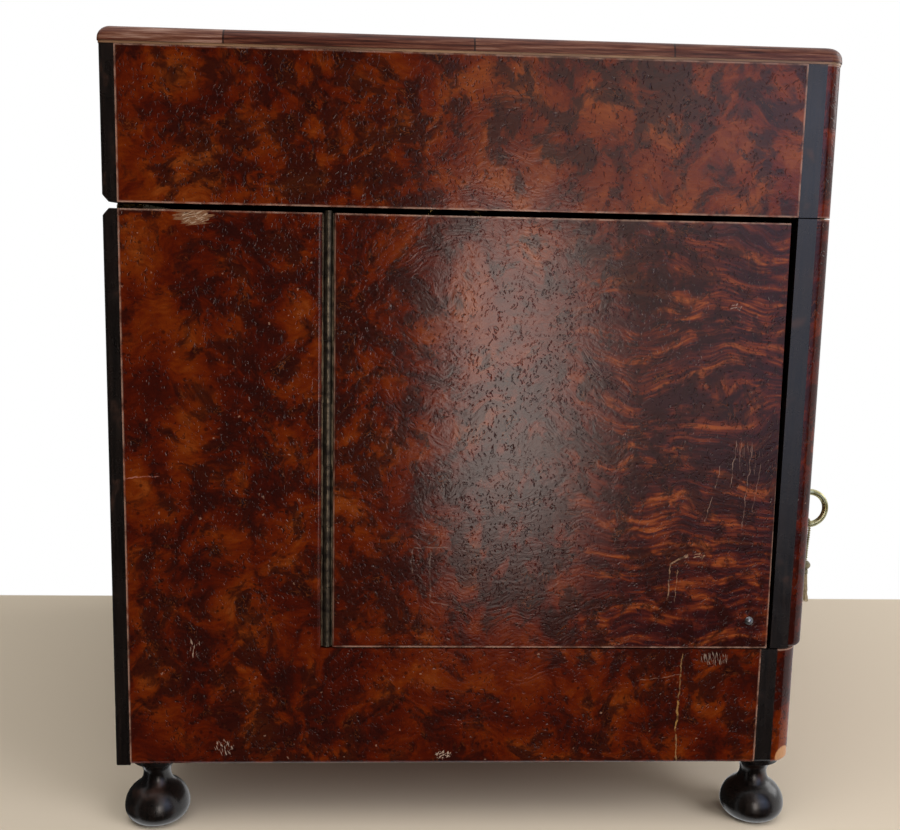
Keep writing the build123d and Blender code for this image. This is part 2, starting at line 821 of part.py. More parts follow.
with BuildPart() as tassel_skirt:
    with BuildSketch(bow_plane):
        with BuildLine():
            Polyline(
                (0, skirt_top - tassel_skirt_length),
                (tassel_skirt_radius, skirt_top - tassel_skirt_length),
                (tassel_shoulder_radius, skirt_top - tassel_shoulder_drop),
                (tassel_neck_radius, skirt_top),
                (0, skirt_top),
                close=True,
            )
        make_face()
    revolve(axis=Axis((0, bow_y, 0), (0, 0, 1)))
save(tassel_skirt, "tassel_skirt")

# ======== side doors and their long hinges ========

catch_pin_y = post_back + catch_pin_inset
catch_pin_z = door_bottom + catch_pin_rise
barrel_top = body_top + door_hinge_rise

for side, node in ((-1, "left_door"), (1, "right_door")):
    with BuildPart() as door:
        with BuildSketch(Plane.YZ.offset(side * half_width)):
            with BuildLine():
                Polyline(
                    (post_back + door_gap_bottom, door_bottom),
                    (door_edge, door_bottom),
                    (door_edge, body_top),
                    (post_back + door_gap_top, body_top),
                    close=True,
                )
            make_face()
        extrude(amount=-side * wall)
        upright = door.edges().filter_by(Axis.Z).sort_by(Axis.X)
        fillet(upright[-1] if side > 0 else upright[0], door_edge_radius)
        with BuildSketch(Plane.YZ.offset(side * half_width)):
            with Locations((catch_pin_y, catch_pin_z)):
                Circle(catch_pin_radius + spigot_clearance)
        extrude(amount=-side * catch_pin_length, mode=Mode.SUBTRACT)
    save(door, node)

    with BuildPart() as catch_pin:
        place = (side * half_width, catch_pin_y, catch_pin_z)
        with BuildSketch(Plane(origin=place, x_dir=(0, 0, 1), z_dir=(0, side, 0))):
            with BuildLine():
                Line((0, -catch_pin_length), (0, catch_head_height))
                RadiusArc((0, catch_head_height), (catch_head_radius, 0), catch_head_radius * 1.1)
                Polyline(
                    (catch_head_radius, 0),
                    (catch_pin_radius, 0),
                    (catch_pin_radius, -catch_pin_length),
                    (0, -catch_pin_length),
                )
            make_face()
        revolve(axis=Axis(place, (1, 0, 0)))
    save(catch_pin, node + "_pin")


def long_leaf(side, toward_back, own):
    """One leaf of a long door hinge: toward_back is 1 for the case's leaf, -1 for the door's."""
    axis_x = side * (half_width - door_barrel_inset)
    pitch = (barrel_top - door_bottom) / door_knuckles
    near = door_hinge_half_gap - door_leaf_thickness
    block(
        sorted((axis_x, axis_x - side * door_leaf_width)),
        sorted(
            (door_hinge_y + toward_back * near, door_hinge_y + toward_back * door_hinge_half_gap)
        ),
        (door_bottom, body_top),
    )
    for n in range(door_knuckles):
        mine = n in own
        grow = -knuckle_gap / 2 if mine else knuckle_gap / 2
        low = door_bottom + n * pitch - (grow if 0 < n else 0)
        high = door_bottom + (n + 1) * pitch + (grow if n < door_knuckles - 1 else 0)
        radius = door_barrel_radius if mine else door_barrel_radius + leaf_clearance
        with BuildSketch(Plane.XY.offset(low)) as knuckle:
            with Locations((axis_x, door_hinge_y)):
                Circle(radius)
        mode = Mode.ADD if mine else Mode.SUBTRACT
        extrude(knuckle.sketch, amount=high - low, mode=mode)
    with BuildSketch(Plane.XY.offset(door_bottom)) as bore:
        with Locations((axis_x, door_hinge_y)):
            Circle(door_pin_radius + running_clearance)
    extrude(bore.sketch, amount=barrel_top - door_bottom, mode=Mode.SUBTRACT)


for side, name in ((-1, "left"), (1, "right")):
    with BuildPart() as case_leaf:
        long_leaf(side, 1, range(0, door_knuckles, 2))
    save(case_leaf, name + "_door_case_leaf")
    with BuildPart() as door_leaf:
        long_leaf(side, -1, range(1, door_knuckles, 2))
    save(door_leaf, name + "_door_leaf")

with BuildPart() as door_hinge_pins:
    for side in (-1, 1):
        with BuildSketch(Plane.XY.offset(door_bottom)):
            with Locations((side * (half_width - door_barrel_inset), door_hinge_y)):
                Circle(door_pin_radius)
        extrude(amount=barrel_top - door_bottom)
save(door_hinge_pins, "door_hinge_pins")

# ======== rack ========

rack_x = inner_side - rack_clearance
rack_y = half_depth - wall - rack_clearance
base_top = floor_top + rack_base_thickness
shelf_bottom = base_top + shelf_height
shelf_top = shelf_bottom + shelf_thickness
gallery_bottom = shelf_top + gallery_height
gallery_top = gallery_bottom + gallery_thickness
decanter_width = rack_x - shelf_width - decanter_shelf_gap - decanter_gap / 2
decanter_pitch = decanter_width + decanter_gap
frame_bottom = base_top + frame_height
frame_half = decanter_pitch / 2 + decanter_width / 2 + frame_fit + frame_band
shelf_x = rack_x - shelf_width / 2  # middle of each shelf
glass_pitch = 2 * (rack_y - glass_row_end) / (glasses_in_row - 1)
well_fit = decanter_width + 2 * frame_fit
foot_recess = glass_foot_radius + glass_recess_clearance


def decanter_places():
    """The middles of the four decanters."""
    return GridLocations(decanter_pitch, decanter_pitch, 2, 2)


def shelf_columns():
    """The middles of the columns under both shelves."""
    ends = rack_y - column_inset
    sides = shelf_width / 2 - column_inset
    return [
        (side * shelf_x + across * sides, y)
        for side in (-1, 1)
        for across in (-1, 1)
        for y in (-ends, 0, ends)
    ]


def frame_columns():
    """The middles of the columns under the corners of the decanters' frame."""
    at = frame_half - frame_band / 2
    return [(x, y) for x in (-at, at) for y in (-at, at)]


def octagon(across_flats):
    """A regular octagon with its flats square to the axes."""
    RegularPolygon(across_flats / 2, 8, major_radius=False, rotation=22.5)


def cut_square(across, chamfer_length):
    """A square with its corners cut off."""
    square = Rectangle(across, across)
    chamfer(square.vertices(), chamfer_length)


with BuildPart() as rack_base:
    block((-rack_x, rack_x), (-rack_y, rack_y), (floor_top, base_top))
    with BuildSketch(Plane.XY.offset(base_top)):
        with decanter_places():
            Rectangle(well_fit, well_fit)
    extrude(amount=-rack_well, mode=Mode.SUBTRACT)
    with BuildSketch(Plane.XY.offset(base_top)):
        for x in (-shelf_x, shelf_x):
            with GridLocations(1, glass_pitch, 1, glasses_in_row):
                with Locations((x, 0)):
                    Circle(foot_recess)
    extrude(amount=-glass_recess, mode=Mode.SUBTRACT)
save(rack_base, "rack_base")

with BuildPart() as rack_columns:
    with BuildSketch(Plane.XY.offset(base_top)):
        with Locations(*shelf_columns()):
            Circle(column_radius)
    extrude(amount=gallery_top - base_top)
    with BuildSketch(Plane.XY.offset(base_top)):
        with Locations(*frame_columns()):
            Circle(column_radius)
    extrude(amount=frame_bottom - base_top)
save(rack_columns, "rack_columns")

with BuildPart() as glass_shelves:
    for side in (-1, 1):
        edges = sorted((side * (rack_x - shelf_width), side * rack_x))
        block(edges, (-rack_y, rack_y), (shelf_bottom, shelf_top))
    with BuildSketch(Plane.XY.offset(shelf_top)):
        for x in (-shelf_x, shelf_x):
            with GridLocations(1, glass_pitch, 1, glasses_in_row):
                with Locations((x, 0)):
                    Circle(foot_recess)
    extrude(amount=-glass_recess, mode=Mode.SUBTRACT)
    with BuildSketch(Plane.XY.offset(shelf_bottom)):
        with Locations(*shelf_columns()):
            Circle(column_radius + spigot_clearance)
    extrude(amount=shelf_thickness, mode=Mode.SUBTRACT)
save(glass_shelves, "glass_shelves")

gallery_outer = column_inset * 2
with BuildPart() as glass_galleries:
    for side in (-1, 1):
        with BuildSketch(Plane.XY.offset(gallery_bottom)):
            with Locations((side * shelf_x, 0)):
                Rectangle(shelf_width, 2 * rack_y)
                Rectangle(
                    shelf_width - 2 * gallery_outer + gallery_band,
                    2 * rack_y - 2 * gallery_outer,
                    mode=Mode.SUBTRACT,
                )
        extrude(amount=gallery_thickness)
    with BuildSketch(Plane.XY.offset(gallery_bottom)):
        with Locations(*shelf_columns()):
            Circle(column_radius + spigot_clearance)
    extrude(amount=gallery_thickness, mode=Mode.SUBTRACT)
save(glass_galleries, "glass_galleries")

with BuildPart() as decanter_frame:
    across = (-frame_half, frame_half)
    block(across, across, (frame_bottom, frame_bottom + frame_thickness))
    with BuildSketch(Plane.XY.offset(frame_bottom)):
        with decanter_places():
            cut_square(well_fit, decanter_chamfer)
        Circle(handle_radius + spigot_clearance)
    extrude(amount=frame_thickness, mode=Mode.SUBTRACT)
save(decanter_frame, "decanter_frame")

ring_middle = base_top + handle_rise - handle_ring_radius - handle_wire_radius
ring_bottom = ring_middle - handle_ring_radius
knop = [ring_bottom - place for place in handle_knop_places]
with BuildPart() as rack_handle:
    with BuildSketch(Plane.XZ):
        with BuildLine():
            Polyline(
                (0, base_top),
                (handle_radius, base_top),
                (handle_radius, knop[0]),
                (handle_knop_radius, knop[1]),
                (handle_knop_radius, knop[2]),
                (handle_neck_radius, knop[3]),
                (handle_neck_radius, ring_bottom),
                (0, ring_bottom),
                close=True,
            )
        make_face()
    revolve(axis=Axis.Z)
    with BuildSketch(Plane.XZ):
        with Locations((0, ring_middle + handle_ring_radius)):
            Circle(handle_wire_radius)
    revolve(axis=Axis((0, 0, ring_middle), (1, 0, 0)))
save(rack_handle, "rack_handle")

# ======== glasses ========


def bowl_section(height, across):
    """An octagonal section of the bowl, facing up."""
    with BuildSketch(Plane.XY.offset(height)) as section:
        octagon(across)
    return section.sketch


with BuildPart() as glass:
    with BuildSketch():
        Circle(glass_foot_radius)
    extrude(amount=glass_foot_thickness)
    with BuildSketch(Plane.XY.offset(glass_foot_thickness)):
        octagon(2 * glass_stem_radius)
    extrude(amount=glass_stem_height - glass_foot_thickness)
    outer_bowl = [
        bowl_section(glass_stem_height, 2 * glass_stem_radius),
        bowl_section(glass_shoulder_height, glass_shoulder_width),
        bowl_section(glass_height, glass_bowl_width),
    ]
    loft(outer_bowl, ruled=True)
    inner_bowl = [
        bowl_section(glass_stem_height + glass_bowl_floor, 2 * glass_stem_radius),
        bowl_section(
            glass_shoulder_height + glass_bowl_wall, glass_shoulder_width - 2 * glass_bowl_wall
        ),
        bowl_section(glass_height, glass_bowl_width - 2 * glass_bowl_wall),
    ]
    loft(inner_bowl, ruled=True, mode=Mode.SUBTRACT)

for side, node in ((-1, "glasses_left"), (1, "glasses_right")):
    with BuildPart() as glasses:
        for z in (base_top - glass_recess, shelf_top - glass_recess):
            for n in range(glasses_in_row):
                y = (n - (glasses_in_row - 1) / 2) * glass_pitch
                with Locations((side * shelf_x, y, z)):
                    add(glass.part)
    save(glasses, node)

# ======== decanters and stoppers ========

decanter_bottom = base_top - rack_well
shoulder_bottom = decanter_body
shoulder_top = decanter_body + decanter_shoulder
lip_bottom = shoulder_top + decanter_neck
lip_top = lip_bottom + decanter_lip


def square_section(height, across, chamfer_length):
    """A cut-cornered square section of the decanter, facing up."""
    with BuildSketch(Plane.XY.offset(height)) as section:
        cut_square(across, chamfer_length)
    return section.sketch


with BuildPart() as decanter:
    with BuildSketch():
        cut_square(decanter_width, decanter_chamfer)
    extrude(amount=shoulder_bottom)
    loft(
        [
            square_section(shoulder_bottom, decanter_width, decanter_chamfer),
            bowl_section(shoulder_top, decanter_neck_width),
        ],
        ruled=True,
    )
    with BuildSketch(Plane.XY.offset(shoulder_top)):
        octagon(decanter_neck_width)
    extrude(amount=decanter_neck)
    with BuildSketch(Plane.XY.offset(lip_bottom)):
        Circle(decanter_lip_radius)
    extrude(amount=decanter_lip)
    inside = decanter_width - 2 * glass_wall
    inside_chamfer = decanter_chamfer - glass_wall * (2 - math.sqrt(2))
    with BuildSketch(Plane.XY.offset(glass_floor)):
        cut_square(inside, inside_chamfer)
    extrude(amount=shoulder_bottom - glass_floor - glass_wall / 2, mode=Mode.SUBTRACT)
    loft(
        [
            square_section(shoulder_bottom - glass_wall / 2, inside, inside_chamfer),
            bowl_section(shoulder_top - glass_wall / 2, 2 * throat_radius),
        ],
        ruled=True,
        mode=Mode.SUBTRACT,
    )
    with BuildSketch(Plane.XZ):
        with BuildLine():
            Polyline(
                (0, shoulder_top - glass_wall),
                (throat_radius, shoulder_top - glass_wall),
                (throat_radius, lip_top - plug_length),
                (mouth_radius, lip_top),
                (0, lip_top),
                close=True,
            )
        make_face()
    revolve(axis=Axis.Z, mode=Mode.SUBTRACT)

with BuildPart() as stopper:
    with BuildSketch(Plane.XZ):
        with BuildLine():
            Polyline(
                (0, lip_top - plug_length + plug_spare),
                (throat_radius - ground_clearance, lip_top - plug_length + plug_spare),
                (mouth_radius - ground_clearance, lip_top),
                (stopper_collar_radius, lip_top),
                (stopper_collar_radius, lip_top + stopper_collar_height),
                (0, lip_top + stopper_collar_height),
                close=True,
            )
        make_face()
    revolve(axis=Axis.Z)
    knob = lip_top + stopper_collar_height
    loft(
        [
            bowl_section(knob, stopper_foot_width),
            bowl_section(knob + stopper_height / 2, stopper_width),
            bowl_section(knob + stopper_height, stopper_tip_width),
        ],
        ruled=True,
    )

for x, across in ((-1, "left"), (1, "right")):
    for y, along in ((-1, "front"), (1, "back")):
        place = (x * decanter_pitch / 2, y * decanter_pitch / 2, decanter_bottom)
        with BuildPart() as placed_decanter:
            with Locations(place):
                add(decanter.part)
        save(placed_decanter, f"decanter_{along}_{across}")
        with BuildPart() as placed_stopper:
            with Locations(place):
                add(stopper.part)
        save(placed_stopper, f"stopper_{along}_{across}")
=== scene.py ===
import json
import math

import bpy
from mathutils import Matrix, Vector


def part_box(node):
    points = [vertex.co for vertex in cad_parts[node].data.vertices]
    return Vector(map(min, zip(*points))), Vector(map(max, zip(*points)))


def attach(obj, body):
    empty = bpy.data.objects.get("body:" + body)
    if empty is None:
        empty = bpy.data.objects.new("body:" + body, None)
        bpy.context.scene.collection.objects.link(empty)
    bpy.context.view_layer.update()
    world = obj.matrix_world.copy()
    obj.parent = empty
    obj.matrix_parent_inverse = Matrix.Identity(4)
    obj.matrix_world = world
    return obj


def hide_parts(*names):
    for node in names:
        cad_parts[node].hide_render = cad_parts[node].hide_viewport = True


# Looks of a French liqueur chest of about 1860, in metres. Every place comes from the frame's
# nodes, the tassel's cord from its own route.

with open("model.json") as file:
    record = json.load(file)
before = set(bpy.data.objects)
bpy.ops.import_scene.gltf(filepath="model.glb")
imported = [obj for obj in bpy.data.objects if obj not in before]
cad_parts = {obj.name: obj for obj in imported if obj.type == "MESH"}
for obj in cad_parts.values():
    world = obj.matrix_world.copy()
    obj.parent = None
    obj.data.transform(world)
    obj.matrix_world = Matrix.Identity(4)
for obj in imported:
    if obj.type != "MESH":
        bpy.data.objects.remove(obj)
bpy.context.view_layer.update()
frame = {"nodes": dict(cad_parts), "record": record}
scene = bpy.context.scene

MM = 0.001
NODES = frame["nodes"]


def linear(code):
    """The linear colour of an sRGB hex value."""
    parts = [int(code[i : i + 2], 16) / 255 for i in (1, 3, 5)]
    return [c / 12.92 if c <= 0.04045 else ((c + 0.055) / 1.055) ** 2.4 for c in parts] + [1.0]


def add(tree, kind, inputs=None, stops=(), **settings):
    """A new node with its settings, its colour stops, and its inputs linked or set."""
    node = tree.nodes.new(kind)
    for name, value in settings.items():
        setattr(node, name, value)
    for number, (place, code) in enumerate(stops):
        elements = node.color_ramp.elements
        element = elements[number] if number < 2 else elements.new(place)
        element.position = place
        element.color = linear(code)
    for name, value in (inputs or {}).items():
        if isinstance(name, int):
            socket = node.inputs[name]
        else:
            socket = next(s for s in node.inputs if s.enabled and s.name == name)
        if isinstance(value, bpy.types.Node):
            value = next(s for s in value.outputs if s.enabled)
        if isinstance(value, bpy.types.NodeSocket):
            tree.links.new(value, socket)
        else:
            socket.default_value = value
    return node


def new_finish(name):
    """An empty material, its node tree and the object's own coordinates in millimetres."""
    finish = bpy.data.materials.new(name)
    finish.use_nodes = True
    tree = finish.node_tree
    tree.nodes.clear()
    place = add(tree, "ShaderNodeTexCoord")
    mm = add(
        tree,
        "ShaderNodeMapping",
        {"Vector": place.outputs["Object"], "Scale": (1 / MM, 1 / MM, 1 / MM)},
    )
    return finish, tree, mm


def surface(tree, inputs):
    """The finish's shader, on its output."""
    shader = add(tree, "ShaderNodeBsdfPrincipled", inputs)
    add(tree, "ShaderNodeOutputMaterial", {"Surface": shader})


# ======== the chest's outer sizes, in mm, from the frame ========


def low_corner(node):
    """The lowest X, Y and Z that a node of the frame reaches."""
    return Vector(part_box(node)[0]) / MM


def high_corner(node):
    """The highest X, Y and Z that a node of the frame reaches."""
    return Vector(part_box(node)[1]) / MM


half_width = high_corner("right_side").x
panel_face = low_corner("front_panel").y
corner_radius = low_corner("front_corner_posts").y - panel_face
plinth_face = low_corner("plinth_front").y
plinth_radius = low_corner("plinth_corner_strips").y - plinth_face
lid_top = high_corner("lid_crossband").z
veneer = 1.2  # thick


# ======== finishes ========


def veneered_skin(tree, mm, front, radius, top=None):
    """1 in the outermost veneer of the chest's upright faces, 0 in the wood under it. The front
    faces lie that far forward and turn into the sides with that radius."""
    axes = add(tree, "ShaderNodeSeparateXYZ", {"Vector": mm})
    squares = []
    for axis, half in (("X", half_width), ("Y", front)):
        away = add(tree, "ShaderNodeMath", {0: axes.outputs[axis]}, operation="ABSOLUTE")
        out = add(tree, "ShaderNodeMath", {0: away, 1: half - radius}, operation="SUBTRACT")
        over = add(tree, "ShaderNodeMath", {0: out, 1: 0.0}, operation="MAXIMUM")
        squares.append(add(tree, "ShaderNodeMath", {0: over, 1: 2.0}, operation="POWER"))
    total = add(tree, "ShaderNodeMath", {0: squares[0], 1: squares[1]}, operation="ADD")
    reach = add(tree, "ShaderNodeMath", {0: total}, operation="SQRT")
    limit = radius - veneer
    skin = add(tree, "ShaderNodeMath", {0: reach, 1: limit}, operation="GREATER_THAN")
    if top is None:
        return skin
    upper = add(
        tree, "ShaderNodeMath", {0: axes.outputs["Z"], 1: top - veneer}, operation="GREATER_THAN"
    )
    return add(tree, "ShaderNodeMath", {0: skin, 1: upper}, operation="MAXIMUM")


def plain_wood_colour(tree, mm, dark, light, along="Y"):
    """Straight-grained timber: pores a few mm long and a slow drift of tone."""
    stretch = {"X": (0.02, 0.5, 0.5), "Y": (0.5, 0.02, 0.5), "Z": (0.5, 0.5, 0.02)}[along]
    grain_place = add(tree, "ShaderNodeMapping", {"Vector": mm, "Scale": stretch})
    grain = add(tree, "ShaderNodeTexNoise", {"Vector": grain_place, "Scale": 1.6, "Detail": 5.0})
    return add(tree, "ShaderNodeValToRGB", {"Fac": grain}, stops=[(0.35, dark), (0.68, light)])


def warped(tree, coords, scale, reach, detail=2.0):
    """The coordinates, bent by noise of that scale (1/mm) by up to that reach (mm)."""
    bend = add(tree, "ShaderNodeTexNoise", {"Vector": coords, "Scale": scale, "Detail": detail})
    centred = add(
        tree,
        "ShaderNodeVectorMath",
        {0: bend.outputs["Color"], 1: (0.5, 0.5, 0.5)},
        operation="SUBTRACT",
    )
    grown = add(tree, "ShaderNodeVectorMath", {0: centred, "Scale": reach * 2}, operation="SCALE")
    return add(tree, "ShaderNodeVectorMath", {0: coords, 1: grown}, operation="ADD")


def ramp_between(tree, value, start, end, low=0.0, high=1.0):
    """low at start, high at end, with a soft change between."""
    return add(
        tree,
        "ShaderNodeMapRange",
        {"Value": value, "From Min": start, "From Max": end, "To Min": low, "To Max": high},
        interpolation_type="SMOOTHSTEP",
    )


def times(tree, *values):
    """The product of several masks."""
    product = values[0]
    for value in values[1:]:
        product = add(tree, "ShaderNodeMath", {0: product, 1: value}, operation="MULTIPLY")
    return product


def stained(tree, colour, mask, code):
    """The colour, with another laid over it where the mask says."""
    return add(
        tree, "ShaderNodeMix", {"Factor": mask, "A": colour, "B": linear(code)}, data_type="RGBA"
    )


MARK_DEPTH = 8.0  # mm


def mark_place(tree, mm, centre, lean, wide, high):
    """Coordinates that run from -1 to 1 over a mark, which leans by that angle and is MARK_DEPTH
    deep to each side of its face."""
    return add(
        tree,
        "ShaderNodeMapping",
        {
            "Vector": mm,
            "Location": centre,
            "Rotation": (math.radians(lean), 0, 0),
            "Scale": (MARK_DEPTH, wide, high),
        },
        vector_type="TEXTURE",
    )


def scratched(tree, ragged, colour, ends, width, strength, code):
    """A thin scratch between two places (y, z) on the left side."""
    (y1, z1), (y2, z2) = ends
    lean = math.degrees(math.atan2(y1 - y2, z2 - z1))
    middle = (-half_width, (y1 + y2) / 2, (z1 + z2) / 2)
    half_length = math.hypot(y2 - y1, z2 - z1) / 2
    axes = add(
        tree,
        "ShaderNodeSeparateXYZ",
        {"Vector": mark_place(tree, ragged, middle, lean, width, half_length)},
    )
    across = add(tree, "ShaderNodeMath", {0: axes.outputs["Y"]}, operation="ABSOLUTE")
    along = add(tree, "ShaderNodeMath", {0: axes.outputs["Z"]}, operation="ABSOLUTE")
    broken = add(tree, "ShaderNodeTexNoise", {"Vector": ragged, "Scale": 0.45, "Detail": 3.0})
    line = times(
        tree,
        ramp_between(tree, across, 1.0, 0.3),
        ramp_between(tree, along, 1.0, 0.85),
        ramp_between(tree, broken, 0.38, 0.52, 0.25, 1.0),
    )
    return stained(tree, colour, times(tree, line, strength), code)


def scuffed(tree, mm, colour, centre, reach, lean, hair, cover, code):
    """A patch of raw or rubbed streaks: each about hair wide and long, over part of the reach."""
    place = (-half_width, *centre)
    whole = mark_place(tree, mm, place, 0, *reach)
    away = add(tree, "ShaderNodeVectorMath", {0: whole}, operation="LENGTH")
    hairs = mark_place(tree, mm, place, lean, *hair)
    streak = add(tree, "ShaderNodeTexNoise", {"Vector": hairs, "Scale": 1.0})
    faded = ramp_between(tree, away.outputs["Value"], 0.5, 1.0, 0.0, 0.25)
    over = add(tree, "ShaderNodeMath", {0: streak, 1: faded}, operation="SUBTRACT")
    patch = times(
        tree,
        ramp_between(tree, over, cover, cover + 0.08, 0.0, 0.8),
        ramp_between(tree, away.outputs["Value"], 1.0, 0.85),
    )
    return stained(tree, colour, patch, code)


def worn_and_highlit_edges(tree, mm, colour, board, strength):
    """Pale lines along an upright board's edges, broken here and there: partly rubbed wear, partly
    a painted highlight where the edges catch the light. A front or back board has none on its
    upright edges, which are rounded off."""
    low, high = (Vector(v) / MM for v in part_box(board))
    thin = min(range(3), key=lambda axis: high[axis] - low[axis])
    axes = add(tree, "ShaderNodeSeparateXYZ", {"Vector": mm})
    # rubbed gathers the pale lines near the edges, which are partly rubbed wear and partly painted
    # highlight.
    rubbed = 0.0
    for axis in {0: (1, 2), 1: (2,), 2: ()}[thin]:
        for edge in (low[axis], high[axis]):
            off = add(
                tree, "ShaderNodeMath", {0: axes.outputs[axis], 1: edge}, operation="SUBTRACT"
            )
            near = add(tree, "ShaderNodeMath", {0: off}, operation="ABSOLUTE")
            line = ramp_between(tree, near, 0.75, 0.25)
            rubbed = add(tree, "ShaderNodeMath", {0: line, 1: rubbed}, operation="MAXIMUM")
    broken = add(tree, "ShaderNodeTexNoise", {"Vector": mm, "Scale": 0.22, "Detail": 3.0})
    # The pale edge colour is partly wear and partly a painted highlight along the edges.
    edge_wear_and_highlight = times(tree, rubbed, ramp_between(tree, broken, 0.36, 0.6, 0.25, 1.0), strength)
    return stained(tree, colour, edge_wear_and_highlight, "#a98674")


def pips(tree, coords, pitch, size, chance, ring=0.3):
    """1 in dots about size mm across, pitch mm apart, where the chance (0 to 1) keeps them."""
    cell = add(tree, "ShaderNodeTexVoronoi", {"Vector": coords, "Scale": 1 / pitch})
    edge = size / pitch / 2
    core = ramp_between(tree, cell, edge * (1 + ring), edge * (1 - ring))
    drawn = add(tree, "ShaderNodeSeparateXYZ", {"Vector": cell.outputs["Color"]})
    kept = add(tree, "ShaderNodeMath", {0: drawn.outputs["X"], 1: chance}, operation="LESS_THAN")
    return times(tree, core, kept)


